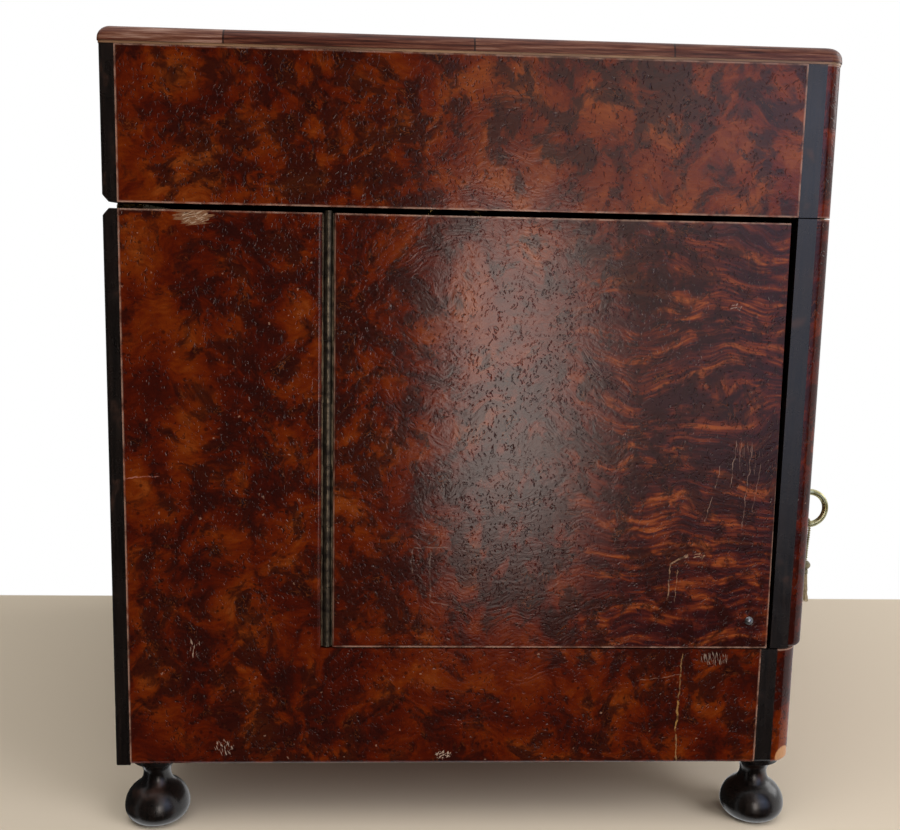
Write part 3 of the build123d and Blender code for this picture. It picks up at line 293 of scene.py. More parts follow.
def burl_veneer(
    board, seed, tone=0.0, streaks=False, top=None, flat=(1.0, 1.0, 1.0), scratches=(), scuffs=()
):
    """Thuya burl veneer, knife-cut, laid and French-polished: a smooth orange-brown ground with
    soft plum clouds, in which fringed eyes and pips crowd, and open pores that the shellac sinks
    into. flat is 0 along the board's thickness, where the figure doesn't change."""
    finish, tree, mm = new_finish(f"thuya_burl_french_polished_{board}")
    here = add(tree, "ShaderNodeMapping", {"Vector": mm, "Location": seed, "Scale": flat})
    swept = warped(tree, here, 1 / 34, 12.0)
    bent = warped(tree, swept, 1 / 11, 3.6)
    hairy = warped(tree, bent, 1 / 2.4, 1.2, 3.0)
    # The ground drifts from red-brown to orange over 2 or 3 cm, with a faint fibre through it.
    broad = add(tree, "ShaderNodeTexNoise", {"Vector": bent, "Scale": 1 / 17, "Detail": 3.0})
    fibre_place = add(tree, "ShaderNodeMapping", {"Vector": bent, "Scale": (0.8, 0.22, 0.8)})
    fibre = add(tree, "ShaderNodeTexNoise", {"Vector": fibre_place, "Scale": 1.0, "Detail": 5.0})
    fine = add(tree, "ShaderNodeMath", {0: fibre, 1: 0.22, 2: tone}, operation="MULTIPLY_ADD")
    level = add(tree, "ShaderNodeMath", {0: broad, 1: 0.78, 2: fine}, operation="MULTIPLY_ADD")
    ground_stops = [
        (0.36, "#330d07"),
        (0.45, "#451105"),
        (0.52, "#551905"),
        (0.60, "#632406"),
        (0.70, "#783711"),
    ]
    colour = add(tree, "ShaderNodeValToRGB", {"Fac": level}, stops=ground_stops)
    if streaks:
        # Toward the front edge the grain straightens: flat orange tongues and fine wavy lines.
        axes = add(tree, "ShaderNodeSeparateXYZ", {"Vector": mm})
        straight = ramp_between(tree, axes.outputs["Y"], -22.0, -66.0)
        tongue_place = add(tree, "ShaderNodeMapping", {"Vector": swept, "Scale": (0.2, 0.045, 0.2)})
        tongue = add(
            tree, "ShaderNodeTexNoise", {"Vector": tongue_place, "Scale": 1.0, "Detail": 5.0}
        )
        line_place = add(tree, "ShaderNodeMapping", {"Vector": swept, "Scale": (0.5, 0.04, 0.8)})
        line = add(tree, "ShaderNodeTexNoise", {"Vector": line_place, "Scale": 1.0, "Detail": 3.0})
        fine = add(tree, "ShaderNodeMath", {0: line, 1: 0.42, 2: tone}, operation="MULTIPLY_ADD")
        lined = add(tree, "ShaderNodeMath", {0: tongue, 1: 0.58, 2: fine}, operation="MULTIPLY_ADD")
        flat_grain = add(
            tree,
            "ShaderNodeValToRGB",
            {"Fac": lined},
            stops=[(0.42, "#2c1112"), (0.49, "#451914"), (0.55, "#632813"), (0.62, "#8a441e")],
        )
        colour = add(
            tree,
            "ShaderNodeMix",
            {"Factor": straight, "A": colour, "B": flat_grain},
            data_type="RGBA",
        )
    drift = add(tree, "ShaderNodeTexNoise", {"Vector": here, "Scale": 1 / 45, "Detail": 1.0})
    blotch = add(
        tree,
        "ShaderNodeTexNoise",
        {"Vector": hairy, "Scale": 1 / 8, "Detail": 5.0, "Roughness": 0.62},
    )
    both = add(tree, "ShaderNodeMath", {0: drift, 1: 0.45, 2: blotch}, operation="MULTIPLY_ADD")
    clouds = ramp_between(tree, both, 0.66, 0.83, 0.0, 0.85)
    colour = stained(tree, colour, clouds, "#250c09")
    # Eyes and pips crowd in and round the clouds, where the burl's buds were cut across.
    crowd = ramp_between(tree, both, 0.66, 0.80, 0.04, 0.6)
    eyes = pips(tree, hairy, 6.5, 4.4, crowd, 0.45)
    colour = stained(tree, colour, times(tree, eyes, 0.6), "#1e0a08")
    small = pips(tree, warped(tree, here, 1 / 1.5, 0.35), 2.6, 1.25, crowd)
    colour = stained(tree, colour, times(tree, small, 0.6), "#1b0907")
    wriggle = add(tree, "ShaderNodeTexNoise", {"Vector": hairy, "Scale": 0.55, "Detail": 2.0})
    ridge = add(tree, "ShaderNodeMath", {0: wriggle, 1: 0.5, 2: 0.02}, operation="COMPARE")
    colour = stained(tree, colour, times(tree, ridge, eyes, 0.3), "#84441f")
    # Pale dots about 0.75 mm across and 5.2 mm apart are painted highlights: small glints of light
    # drawn into the colour.
    painted_glints = pips(tree, warped(tree, here, 0.8, 1.0), 5.2, 0.75, 0.13)
    colour = stained(tree, colour, times(tree, painted_glints, 0.3), "#c39b83")
    # Short bent slashes, 1 to 3 mm long, are pores cut open at a slant.
    curled = warped(tree, here, 1 / 5, 4.5)
    slash_place = add(tree, "ShaderNodeMapping", {"Vector": curled, "Scale": (1.0, 1.0, 0.36)})
    slash = pips(tree, slash_place, 1.15, 0.62, 0.85, 0.35)
    sown = add(tree, "ShaderNodeTexNoise", {"Vector": here, "Scale": 1 / 22, "Detail": 2.0})
    pores = times(tree, slash, ramp_between(tree, sown, 0.40, 0.54, 0.25, 0.9))
    colour = stained(tree, colour, times(tree, pores, 0.75), "#1d0b08")
    # Pale lines along the board's edges: partly rubbed wear, partly painted highlight.
    colour = worn_and_highlit_edges(tree, mm, colour, board, 0.6)
    ragged = warped(tree, mm, 1 / 3, 0.9)
    for mark in scratches:
        colour = scratched(tree, ragged, colour, *mark)
    for mark in scuffs:
        colour = scuffed(tree, mm, colour, *mark)
    if board == "plinth_front":
        skin = veneered_skin(tree, mm, -plinth_face, plinth_radius)
    else:
        skin = veneered_skin(tree, mm, -panel_face, corner_radius, top)
    size = [high - low for low, high in zip(*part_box(board))]
    under = plain_wood_colour(tree, mm, "#2c150c", "#4a2715", along="XYZ"[size.index(max(size))])
    colour = add(tree, "ShaderNodeMix", {"Factor": skin, "A": under, "B": colour}, data_type="RGBA")
    relief = add(tree, "ShaderNodeMath", {0: pores, 1: -1.5, 2: fibre}, operation="MULTIPLY_ADD")
    bump = add(tree, "ShaderNodeBump", {"Height": relief, "Strength": 0.35, "Distance": 0.00018})
    surface(
        tree,
        {
            "Base Color": colour,
            "Roughness": 0.5,
            "IOR": 1.5,
            "Specular IOR Level": 0.0,
            "Coat Weight": times(tree, skin, 0.45),
            "Coat Roughness": 0.13,
            "Coat IOR": 1.5,
            "Normal": bump,
            "Coat Normal": bump,
        },
    )
    return finish


def ebony():
    """Ebonised pearwood, stained black and polished: no figure, a soft sheen with fine lines, and
    the brown of the bare wood where hands have rubbed it."""
    finish, tree, mm = new_finish("ebonised_pearwood_polished")
    colour = plain_wood_colour(tree, mm, "#0c0908", "#1b1411", along="Z")
    rub = add(tree, "ShaderNodeTexNoise", {"Vector": mm, "Scale": 1 / 9, "Detail": 4.0})
    colour = stained(tree, colour, ramp_between(tree, rub, 0.58, 0.72, 0.0, 0.7), "#38231a")
    rough = add(tree, "ShaderNodeMapRange", {"Value": rub, "To Min": 0.18, "To Max": 0.36})
    bump = add(tree, "ShaderNodeBump", {"Height": rub, "Strength": 0.2, "Distance": 0.0003})
    surface(
        tree,
        {
            "Base Color": colour,
            "Roughness": rough,
            "IOR": 1.5,
            "Specular IOR Level": 0.4,
            "Normal": bump,
        },
    )
    return finish


def crossband_veneer():
    """Kingwood banding, planed and polished round the lid's edge in lengths of 7 to 8 cm: fine
    lines along it, each length of its own tone, and dark joints between."""
    finish, tree, mm = new_finish("kingwood_banding_polished")
    place = add(tree, "ShaderNodeMapping", {"Vector": mm, "Scale": (0.05, 0.05, 1.1)})
    grain = add(
        tree, "ShaderNodeTexNoise", {"Vector": place, "Scale": 1.0, "Detail": 6.0, "Roughness": 0.6}
    )
    axes = add(tree, "ShaderNodeSeparateXYZ", {"Vector": mm})
    tone = grain
    joints = 0.0
    for place, step in BAND_JOINTS:
        past = ramp_between(tree, axes.outputs["Y"], place - 0.1, place + 0.1, 0.0, step)
        tone = add(tree, "ShaderNodeMath", {0: past, 1: tone}, operation="ADD")
        joint = add(
            tree, "ShaderNodeMath", {0: axes.outputs["Y"], 1: place, 2: 0.3}, operation="COMPARE"
        )
        joints = add(tree, "ShaderNodeMath", {0: joint, 1: joints}, operation="MAXIMUM")
    stops = [(0.36, "#2b120b"), (0.5, "#4c2418"), (0.62, "#67402f"), (0.8, "#947263")]
    colour = add(tree, "ShaderNodeValToRGB", {"Fac": tone}, stops=stops)
    colour = stained(tree, colour, times(tree, joints, 0.85), "#170a08")
    surface(
        tree,
        {
            "Base Color": colour,
            "Roughness": 0.5,
            "Specular IOR Level": 0.1,
            "Coat Weight": 0.3,
            "Coat Roughness": 0.2,
        },
    )
    return finish


def boxwood():
    """Boxwood stringing, planed and polished: pale, yellowed by old shellac."""
    finish, tree, mm = new_finish("boxwood_stringing_polished")
    colour = plain_wood_colour(tree, mm, "#553522", "#94704f", along="Y")
    surface(tree, {"Base Color": colour, "Roughness": 0.4, "IOR": 1.5})
    return finish


def rosewood():
    """Rosewood, planed and waxed: brown-black streaks along the board, a low shine."""
    finish, tree, mm = new_finish("rosewood_waxed")
    colour = plain_wood_colour(tree, mm, "#1d0d09", "#5f301c", along="Y")
    surface(tree, {"Base Color": colour, "Roughness": 0.38, "IOR": 1.5})
    return finish


def carcase_wood():
    """Mahogany carcase wood, planed and oiled: even brown with open pores."""
    finish, tree, mm = new_finish("mahogany_oiled")
    colour = plain_wood_colour(tree, mm, "#3a1c0f", "#6a3a1f", along="Y")
    surface(tree, {"Base Color": colour, "Roughness": 0.55, "IOR": 1.5})
    return finish


def worn_metal(name, bright, dull, rough_low, rough_high, spot=3.0):
    """A handled metal: bright where it is rubbed, dull and browner in patches a few mm wide."""
    finish, tree, mm = new_finish(name)
    patch = add(tree, "ShaderNodeTexNoise", {"Vector": mm, "Scale": 1 / spot, "Detail": 5.0})
    colour = add(tree, "ShaderNodeValToRGB", {"Fac": patch}, stops=[(0.35, dull), (0.65, bright)])
    rough = add(
        tree, "ShaderNodeMapRange", {"Value": patch, "To Min": rough_high, "To Max": rough_low}
    )
    fine = add(tree, "ShaderNodeTexNoise", {"Vector": mm, "Scale": 2.0, "Detail": 3.0})
    bump = add(tree, "ShaderNodeBump", {"Height": fine, "Strength": 0.15, "Distance": 0.0001})
    surface(tree, {"Base Color": colour, "Metallic": 1.0, "Roughness": rough, "Normal": bump})
    return finish


def crystal():
    """Lead crystal, blown, ground and polished: clear with a faint grey."""
    finish, tree, mm = new_finish("lead_crystal_polished")
    wave = add(tree, "ShaderNodeTexNoise", {"Vector": mm, "Scale": 1 / 14, "Detail": 1.0})
    bump = add(tree, "ShaderNodeBump", {"Height": wave, "Strength": 0.1, "Distance": 0.0004})
    surface(
        tree,
        {
            "Base Color": linear("#f4f7f7"),
            "Roughness": 0.02,
            "IOR": 1.54,
            "Transmission Weight": 1.0,
            "Normal": bump,
        },
    )
    return finish


def silk(name, dark, light):
    """Silk thread, spun and dyed long ago: soft sheen, faded unevenly."""
    finish, tree, mm = new_finish(name)
    fade = add(tree, "ShaderNodeTexNoise", {"Vector": mm, "Scale": 0.7, "Detail": 4.0})
    colour = add(tree, "ShaderNodeValToRGB", {"Fac": fade}, stops=[(0.3, dark), (0.7, light)])
    surface(
        tree,
        {"Base Color": colour, "Roughness": 0.65, "Sheen Weight": 0.4, "Sheen Roughness": 0.4},
    )
    return finish


# The joints in the lid's banding: place along Y in mm, and the change of tone behind it.
BAND_JOINTS = [(-65.1, 0.03), (1.3, -0.05), (83.1, 0.13)]

EBONY = ebony()
CARCASE = carcase_wood()
BRASS = worn_metal("brass_polished_worn", "#bf9a5a", "#927442", 0.2, 0.36, spot=8.0)
DARK_BRASS = worn_metal("brass_tarnished", "#675c4b", "#352f29", 0.35, 0.6)
STEEL = worn_metal("steel_filed", "#a7a8ab", "#5d5a58", 0.28, 0.5)
KEY_BRASS = worn_metal("brass_key_silvered_by_wear", "#b9b48c", "#857a4c", 0.3, 0.5)
CRYSTAL = crystal()
ROSEWOOD = rosewood()
CORD_SILK = silk("silk_cord_olive", "#6f6a4a", "#a39b74")
HEAD_SILK = silk("silk_tassel_head_olive", "#5c563f", "#857b58")
SKIRT_SILK = silk("silk_tassel_threads_beige", "#8f7d5c", "#c3b08c")

FINISHES = {
    "ebony": EBONY,
    "crossband": crossband_veneer(),
    "boxwood": boxwood(),
    "carcase_wood": CARCASE,
    "rack_wood": ROSEWOOD,
    "brass": BRASS,
    "dark_brass": DARK_BRASS,
    "lock_steel": STEEL,
    "crystal": CRYSTAL,
    "silk": CORD_SILK,
}

# Marks on the left side. Scratches: ends (y, z), half width, strength, colour. Scuffs: middle
# and half size (y, z), lean in degrees, a streak's width and length, cover, colour.
SIDE_SCRATCHES = [
    (((118.7, 130.1), (105.9, 130.9)), 0.28, 0.5, "#b5786a"),
    (((-78.8, 68.5), (-77.9, 50.2)), 0.30, 0.6, "#8d6d48"),
    (((-77.9, 50.2), (-77.6, 38.0)), 0.42, 0.65, "#a87f48"),
    (((-77.6, 38.0), (-78.4, 26.0)), 0.32, 0.6, "#93744f"),
    (((-78.8, 60.0), (-62.0, 57.5)), 0.22, 0.45, "#8d6f5e"),
]
SIDE_SCUFFS = [
    ((-90.5, 65.8), (8.5, 3.6), -12.0, (0.3, 4.0), 0.54, "#8f7d70"),
    ((93.5, 219.5), (7.8, 4.6), 84.0, (0.5, 4.0), 0.34, "#7d5a41"),
    ((93.0, 219.0), (6.5, 3.8), 70.0, (0.4, 2.4), 0.50, "#a68d77"),
    ((95.3, 70.0), (3.0, 6.5), 0.0, (0.6, 2.5), 0.56, "#9c8372"),
    ((85.0, 32.4), (5.0, 4.6), -20.0, (0.5, 1.8), 0.54, "#a08a7c"),
    ((6.8, 29.6), (4.6, 2.4), 40.0, (0.5, 1.0), 0.50, "#b89f8c"),
]
DOOR_SCRATCHES = [
    (((-93.8, 145.9), (-92.4, 128.0)), 0.2, 0.7, "#8d7263"),
    (((-95.6, 146.5), (-94.9, 138.0)), 0.16, 0.5, "#876a5d"),
    (((-99.3, 144.2), (-97.4, 113.0)), 0.2, 0.6, "#876a5d"),
    (((-103.2, 138.0), (-100.6, 119.5)), 0.18, 0.5, "#876a5d"),
    (((-88.5, 137.0), (-87.0, 128.0)), 0.16, 0.6, "#8d7263"),
    (((-86.6, 126.0), (-83.5, 116.0)), 0.18, 0.65, "#8d7263"),
    (((-78.8, 104.2), (-72.4, 101.0)), 0.5, 0.75, "#95745b"),
    (((-72.4, 101.5), (-72.3, 87.7)), 0.28, 0.7, "#95745b"),
    (((-75.2, 99.5), (-74.8, 87.0)), 0.2, 0.55, "#95745b"),
    (((19.2, 106.2), (19.1, 96.4)), 0.3, 0.4, "#7e6a60"),
    (((19.2, 106.2), (6.6, 106.3)), 0.3, 0.4, "#7e6a60"),
    (((12.9, 106.2), (12.6, 85.9)), 0.3, 0.35, "#7e6a60"),
    (((12.6, 86.6), (5.5, 85.9)), 0.3, 0.35, "#7e6a60"),
]
DOOR_SCUFFS = [
    ((-98.5, 139.0), (8.0, 9.0), -4.0, (0.35, 9.0), 0.60, "#7a5e52"),
    ((-82.5, 104.0), (3.4, 1.6), 60.0, (0.5, 1.2), 0.5, "#95745b"),
    ((-90.6, 192.2), (3.2, 1.8), 60.0, (0.5, 1.2), 0.52, "#8f786c"),
]
PLINTH_SCUFFS = [((-118.6, 27.8), (3.8, 4.4), 30.0, (2.0, 6.0), 0.1, "#c08f63")]

# Each veneered board is cut from its own place in the burl.
BURL_BOARDS = {
    "left_side": {
        "seed": (0, 0, 0),
        "flat": (0, 1, 1),
        "scratches": SIDE_SCRATCHES,
        "scuffs": SIDE_SCUFFS,
    },
    "left_door": {
        "seed": (310, 40, 25),
        "streaks": True,
        "flat": (0, 1, 1),
        "scratches": DOOR_SCRATCHES,
        "scuffs": DOOR_SCUFFS,
    },
    "lid_left_rail": {"seed": (620, 10, 60), "tone": 0.06, "flat": (0, 1, 1)},
    "right_side": {"seed": (930, 0, 0), "flat": (0, 1, 1)},
    "right_door": {"seed": (1240, 40, 25), "streaks": True, "flat": (0, 1, 1)},
    "lid_right_rail": {"seed": (1550, 10, 60), "tone": 0.06, "flat": (0, 1, 1)},
    "front_panel": {"seed": (20, 1860, 0)},
    "plinth_front": {"seed": (60, 2170, 30), "scuffs": PLINTH_SCUFFS},
    "lid_front_rail": {"seed": (30, 2480, 10)},
    "lid_back_rail": {"seed": (30, 2790, 10), "flat": (1, 0, 1)},
    "back_panel": {"seed": (50, 3100, 40), "flat": (1, 0, 1)},
    "lid_panel": {"seed": (70, 3410, 90), "top": lid_top, "flat": (1, 1, 0)},
}


def dress_frame():
    """Gives every CAD node the finish of its slot, and each burl board a cut of its own."""
    slots = {s["node"]: s["material_slot"] for s in frame["record"]["subparts"]}
    for name, node in NODES.items():
        if name in BURL_BOARDS:
            finish = burl_veneer(name, **BURL_BOARDS[name])
        elif name == "key":
            finish = KEY_BRASS
        else:
            finish = FINISHES[slots[name]]
        node.data.materials.clear()
        node.data.materials.append(finish)


dress_frame()


# ======== the key's cord and tassel ========

bow_low, bow_high = (Vector(v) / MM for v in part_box("tassel_cord"))
cord_y = (bow_low.y + bow_high.y) / 2
CORD_DIAMETER = 1.4
# The cord's route (x, z) in mm, over the bottom of the key's bow and down.
CORD_ROUTE = [
    (0.8, 64.5),
    (1.3, 70.9),
    (2.5, 77.9),
    (2.5, 84.6),
    (-2.5, 84.6),
    (-2.5, 77.9),
    (-1.3, 70.9),
    (-0.8, 64.5),
]


def cord_line():
    """The points of the smooth line that the cord follows, in metres."""
    curve = bpy.data.curves.new("cord_line", "CURVE")
    curve.dimensions = "3D"
    spline = curve.splines.new("NURBS")
    spline.points.add(len(CORD_ROUTE) - 1)
    for point, (x, z) in zip(spline.points, CORD_ROUTE):
        point.co = (x * MM, cord_y * MM, z * MM, 1)
    spline.order_u = 3
    spline.use_endpoint_u = True
    spline.resolution_u = 24
    line = bpy.data.objects.new("cord_line", curve)
    scene.collection.objects.link(line)
    bpy.context.view_layer.update()
    mesh = bpy.data.meshes.new_from_object(line)
    points = [v.co.copy() for v in mesh.vertices]
    bpy.data.objects.remove(line)
    bpy.data.meshes.remove(mesh)
    return points


def twisted_cord(points, strands=2, lay_length=2.3, sides=8):
    """A cord of strands twisted round its line, which lies in an upright plane."""
    strand_radius = CORD_DIAMETER * MM / 4
    across = Vector((0, 1, 0))
    distance = 0.0
    rings = []
    for number, here in enumerate(points):
        before = points[max(number - 1, 0)]
        after = points[min(number + 1, len(points) - 1)]
        distance += (here - before).length
        ahead = (after - before).normalized()
        aside = ahead.cross(across).normalized()
        rings.append((here, aside, distance / (lay_length * MM) * math.tau))
    vertices, faces = [], []
    for strand in range(strands):
        start = len(vertices)
        for here, aside, turn in rings:
            angle = turn + strand * math.tau / strands
            middle = here + (aside * math.cos(angle) + across * math.sin(angle)) * strand_radius
            for side in range(sides):
                a = side * math.tau / sides
                outward = aside * math.cos(a) + across * math.sin(a)
                vertices.append(middle + outward * strand_radius)
        for ring in range(len(rings) - 1):
            for side in range(sides):
                low = start + ring * sides
                high = low + sides
                other = (side + 1) % sides
                faces.append((low + side, high + side, high + other, low + other))
        last = start + (len(rings) - 1) * sides
        faces.append(tuple(start + s for s in range(sides)))
        faces.append(tuple(last + s for s in reversed(range(sides))))
    return new_piece("key_cord_twisted", vertices, faces, CORD_SILK)


def new_piece(name, vertices, faces, finish, smooth=True):
    """A linked object from plain points and faces."""
    mesh = bpy.data.meshes.new(name)
    mesh.from_pydata(vertices, [], faces)
    mesh.validate()
    for face in mesh.polygons:
        face.use_smooth = smooth
    mesh.materials.append(finish)
    piece = bpy.data.objects.new(name, mesh)
    scene.collection.objects.link(piece)
    return piece


cord_points = cord_line()
key_cord = twisted_cord(cord_points)
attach(key_cord, "tassel")
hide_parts("tassel_cord")


# ======== pieces that repeat: the tassel's windings and threads ========


def new_group(name, inputs):
    """A geometry node group with named inputs and one geometry output; its tree and its inputs."""
    group = bpy.data.node_groups.new(name, "GeometryNodeTree")
    group.interface.new_socket("Geometry", in_out="OUTPUT", socket_type="NodeSocketGeometry")
    for label, kind in inputs.items():
        group.interface.new_socket(label, in_out="INPUT", socket_type=f"NodeSocket{kind}")
    return group, add(group, "NodeGroupInput").outputs


def end_group(group, geometry, finish):
    """Real geometry with its finish, on the group's output."""
    real = add(group, "GeometryNodeRealizeInstances", {"Geometry": geometry})
    painted = add(group, "GeometryNodeSetMaterial", {"Geometry": real, "Material": finish})
    add(group, "NodeGroupOutput", {0: painted})


def grown(name, group, values, base=None):
    """A piece with a plain mesh of its own, made once by a node group."""
    mesh = base or bpy.data.meshes.new(f"{name}_seed")
    maker = bpy.data.objects.new(f"{name}_maker", mesh)
    scene.collection.objects.link(maker)
    modifier = maker.modifiers.new("nodes", "NODES")
    modifier.node_group = group
    for item in group.interface.items_tree:
        if item.in_out == "INPUT" and item.name in values:
            modifier[item.identifier] = values[item.name]
    depsgraph = bpy.context.evaluated_depsgraph_get()
    plain = bpy.data.meshes.new_from_object(maker.evaluated_get(depsgraph), depsgraph=depsgraph)
    plain.name = name
    bpy.data.objects.remove(maker)
    bpy.data.meshes.remove(mesh)
    for face in plain.polygons:
        face.use_smooth = True
    piece = bpy.data.objects.new(name, plain)
    scene.collection.objects.link(piece)
    return piece


def winding_group():
    """Thread wound round and round, its radius swelling toward the middle of its height."""
    group, given = new_group(
        "wound_thread",
        {
            "Foot": "Vector",
            "Radius": "Float",
            "Swell": "Float",
            "Height": "Float",
            "Turns": "Float",
            "Thread Radius": "Float",
            "Finish": "Material",
        },
    )
    coil = add(
        group,
        "GeometryNodeCurveSpiral",
        {
            "Resolution": 28,
            "Rotations": given["Turns"],
            "Start Radius": given["Radius"],
            "End Radius": given["Radius"],
            "Height": given["Height"],
        },
    )
    place = add(group, "GeometryNodeInputPosition")
    axes = add(group, "ShaderNodeSeparateXYZ", {"Vector": place})
    share = add(
        group, "ShaderNodeMath", {0: axes.outputs["Z"], 1: given["Height"]}, operation="DIVIDE"
    )
    angle = add(group, "ShaderNodeMath", {0: share, 1: math.pi}, operation="MULTIPLY")
    arch = add(group, "ShaderNodeMath", {0: angle}, operation="SINE")
    bulge = add(group, "ShaderNodeMath", {0: arch, 1: given["Swell"]}, operation="MULTIPLY")
    level = add(group, "ShaderNodeVectorMath", {0: place, 1: (1, 1, 0)}, operation="MULTIPLY")
    outward = add(group, "ShaderNodeVectorMath", {0: level}, operation="NORMALIZE")
    offset = add(group, "ShaderNodeVectorMath", {0: outward, "Scale": bulge}, operation="SCALE")
    swollen = add(group, "GeometryNodeSetPosition", {"Geometry": coil, "Offset": offset})
    ring = add(
        group,
        "GeometryNodeCurvePrimitiveCircle",
        {"Resolution": 7, "Radius": given["Thread Radius"]},
    )
    tube = add(
        group,
        "GeometryNodeCurveToMesh",
        {"Curve": swollen, "Profile Curve": ring, "Fill Caps": True},
    )
    lifted = add(group, "GeometryNodeTransform", {"Geometry": tube, "Translation": given["Foot"]})
    end_group(group, lifted, given["Finish"])
    return group


def skirt_group():
    """Threads that hang from a small disc, spread a little and waver toward their cut ends."""
    group, given = new_group(
        "hanging_threads",
        {
            "Top": "Vector",
            "Radius": "Float",
            "Spread": "Float",
            "Length": "Float",
            "Density": "Float",
            "Thread Radius": "Float",
            "Seed": "Int",
            "Finish": "Material",
        },
    )
    disc = add(
        group,
        "GeometryNodeMeshCircle",
        {"Vertices": 24, "Radius": given["Radius"]},
        fill_type="NGON",
    )
    roots = add(
        group,
        "GeometryNodeDistributePointsOnFaces",
        {"Mesh": disc, "Density": given["Density"], "Seed": given["Seed"]},
    )
    below = add(group, "ShaderNodeMath", {0: given["Length"], 1: -1.0}, operation="MULTIPLY")
    end = add(group, "ShaderNodeCombineXYZ", {"Z": below})
    thread = add(group, "GeometryNodeCurvePrimitiveLine", {"End": end})
    fine = add(group, "GeometryNodeResampleCurve", {"Curve": thread, "Count": 14})
    hung = add(
        group, "GeometryNodeInstanceOnPoints", {"Points": roots.outputs["Points"], "Instance": fine}
    )
    real = add(group, "GeometryNodeRealizeInstances", {"Geometry": hung})
    place = add(group, "GeometryNodeInputPosition")
    axes = add(group, "ShaderNodeSeparateXYZ", {"Vector": place})
    share = add(group, "ShaderNodeMath", {0: axes.outputs["Z"], 1: below}, operation="DIVIDE")
    spread = add(group, "ShaderNodeMath", {0: share, 1: given["Spread"]}, operation="MULTIPLY")
    level = add(group, "ShaderNodeVectorMath", {0: place, 1: (1, 1, 0)}, operation="MULTIPLY")
    outward = add(group, "ShaderNodeVectorMath", {0: level, "Scale": spread}, operation="SCALE")
    wave = add(group, "ShaderNodeTexNoise", {"Vector": place, "Scale": 420.0, "Detail": 1.0})
    centred = add(
        group,
        "ShaderNodeVectorMath",
        {0: wave.outputs["Color"], 1: (0.5, 0.5, 0.5)},
        operation="SUBTRACT",
    )
    waver = add(group, "ShaderNodeMath", {0: share, 1: 1.2 * MM}, operation="MULTIPLY")
    wavy = add(group, "ShaderNodeVectorMath", {0: centred, "Scale": waver}, operation="SCALE")
    offset = add(group, "ShaderNodeVectorMath", {0: outward, 1: wavy}, operation="ADD")
    moved = add(group, "GeometryNodeSetPosition", {"Geometry": real, "Offset": offset})
    ring = add(
        group,
        "GeometryNodeCurvePrimitiveCircle",
        {"Resolution": 5, "Radius": given["Thread Radius"]},
    )
    tube = add(
        group, "GeometryNodeCurveToMesh", {"Curve": moved, "Profile Curve": ring, "Fill Caps": True}
    )
    lowered = add(group, "GeometryNodeTransform", {"Geometry": tube, "Translation": given["Top"]})
    end_group(group, lowered, given["Finish"])
    return group


def make_tassel():
    """The tassel's wound head, the tie under it and its threads, over the frame's plain ones."""
    head_low, head_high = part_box("tassel_head")
    skirt_low, skirt_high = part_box("tassel_skirt")
    winding = winding_group()
    # The head is a coil swollen in the middle, over a short straight coil that ties the threads.
    neck = 1.2 * MM  # between the threads and the head
    core = 1.0 * MM
    thread = 0.34 * MM
    tie_drop = 0.9 * MM  # below the threads' upper end
    head_height = head_high[2] - skirt_high[2] - neck - 2 * thread
    head = grown(
        "tassel_head_wound",
        winding,
        {
            "Foot": (0.0, cord_y * MM, skirt_high[2] + neck + thread),
            "Radius": core,
            "Swell": (head_high[0] - head_low[0]) / 2 - core - thread,
            "Height": head_height,
            "Turns": 8.0,
            "Thread Radius": thread,
            "Finish": HEAD_SILK,
        },
    )
    band = grown(
        "tassel_tie_wound",
        winding,
        {
            "Foot": (0.0, cord_y * MM, skirt_high[2] - tie_drop),
            "Radius": 1.45 * MM,
            "Swell": 0.0,
            "Height": neck + tie_drop,
            "Turns": 5.0,
            "Thread Radius": 0.22 * MM,
            "Finish": HEAD_SILK,
        },
    )
    skirt = grown(
        "tassel_threads",
        skirt_group(),
        {
            "Top": (0.0, cord_y * MM, skirt_high[2]),
            "Radius": 1.3 * MM,
            "Spread": 0.9,
            "Length": skirt_high[2] - skirt_low[2] - 0.2 * MM,
            "Density": 1.6e7,
            "Thread Radius": 0.16 * MM,
            "Seed": 3,
            "Finish": SKIRT_SILK,
        },
    )
    for piece, node in ((head, "tassel_head"), (band, None), (skirt, "tassel_skirt")):
        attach(piece, "tassel")
        if node:
            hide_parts(node)


make_tassel()


# ======== camera, light and floor ========

CAMERA_PLACE = (-508.8 * MM, 26.5 * MM, 209.4 * MM)
CAMERA_YAW, CAMERA_PITCH, CAMERA_ROLL = -3.0, 8.51, 1.21  # degrees
LENS, SENSOR = 44, 36  # mm
NEAREST = 0.01  # m


def set_camera():
    """The camera, level with the chest's lid and looking a little down at its left side."""
    yaw, pitch, roll = (math.radians(a) for a in (CAMERA_YAW, CAMERA_PITCH, CAMERA_ROLL))
    flat = math.cos(pitch)
    ahead = Vector((math.cos(yaw) * flat, math.sin(yaw) * flat, -math.sin(pitch)))
    level = ahead.cross(Vector((0, 0, 1))).normalized()
    up = level.cross(ahead)
    right = level * math.cos(roll) + up * math.sin(roll)
    upright = up * math.cos(roll) - level * math.sin(roll)
    data = bpy.data.cameras.new("camera")
    data.lens = LENS
    data.sensor_width = SENSOR
    data.clip_start = NEAREST
    camera = bpy.data.objects.new("camera", data)
    turn = Matrix((right, upright, -ahead)).transposed().to_4x4()
    camera.matrix_world = Matrix.Translation(CAMERA_PLACE) @ turn
    scene.collection.objects.link(camera)
    scene.camera = camera


# Each lamp's name, place, aim and size in metres, its power in watts, its colour, and whether
# reflections show it.
LAMPS = [
    ("window_right", (-1.1, -1.2, 0.8), (-0.135, -0.05, 0.18), (0.9, 0.9), 16.0, "#f4f6ff", False),
    ("ceiling", (-0.7, 0.2, 1.5), (0, 0, 0.15), (1.4, 1.0), 12.0, "#ffffff", False),
    ("front", (0.3, -1.7, 0.9), (0, 0, 0.15), (1.0, 1.0), 10.0, "#ffffff", True),
]


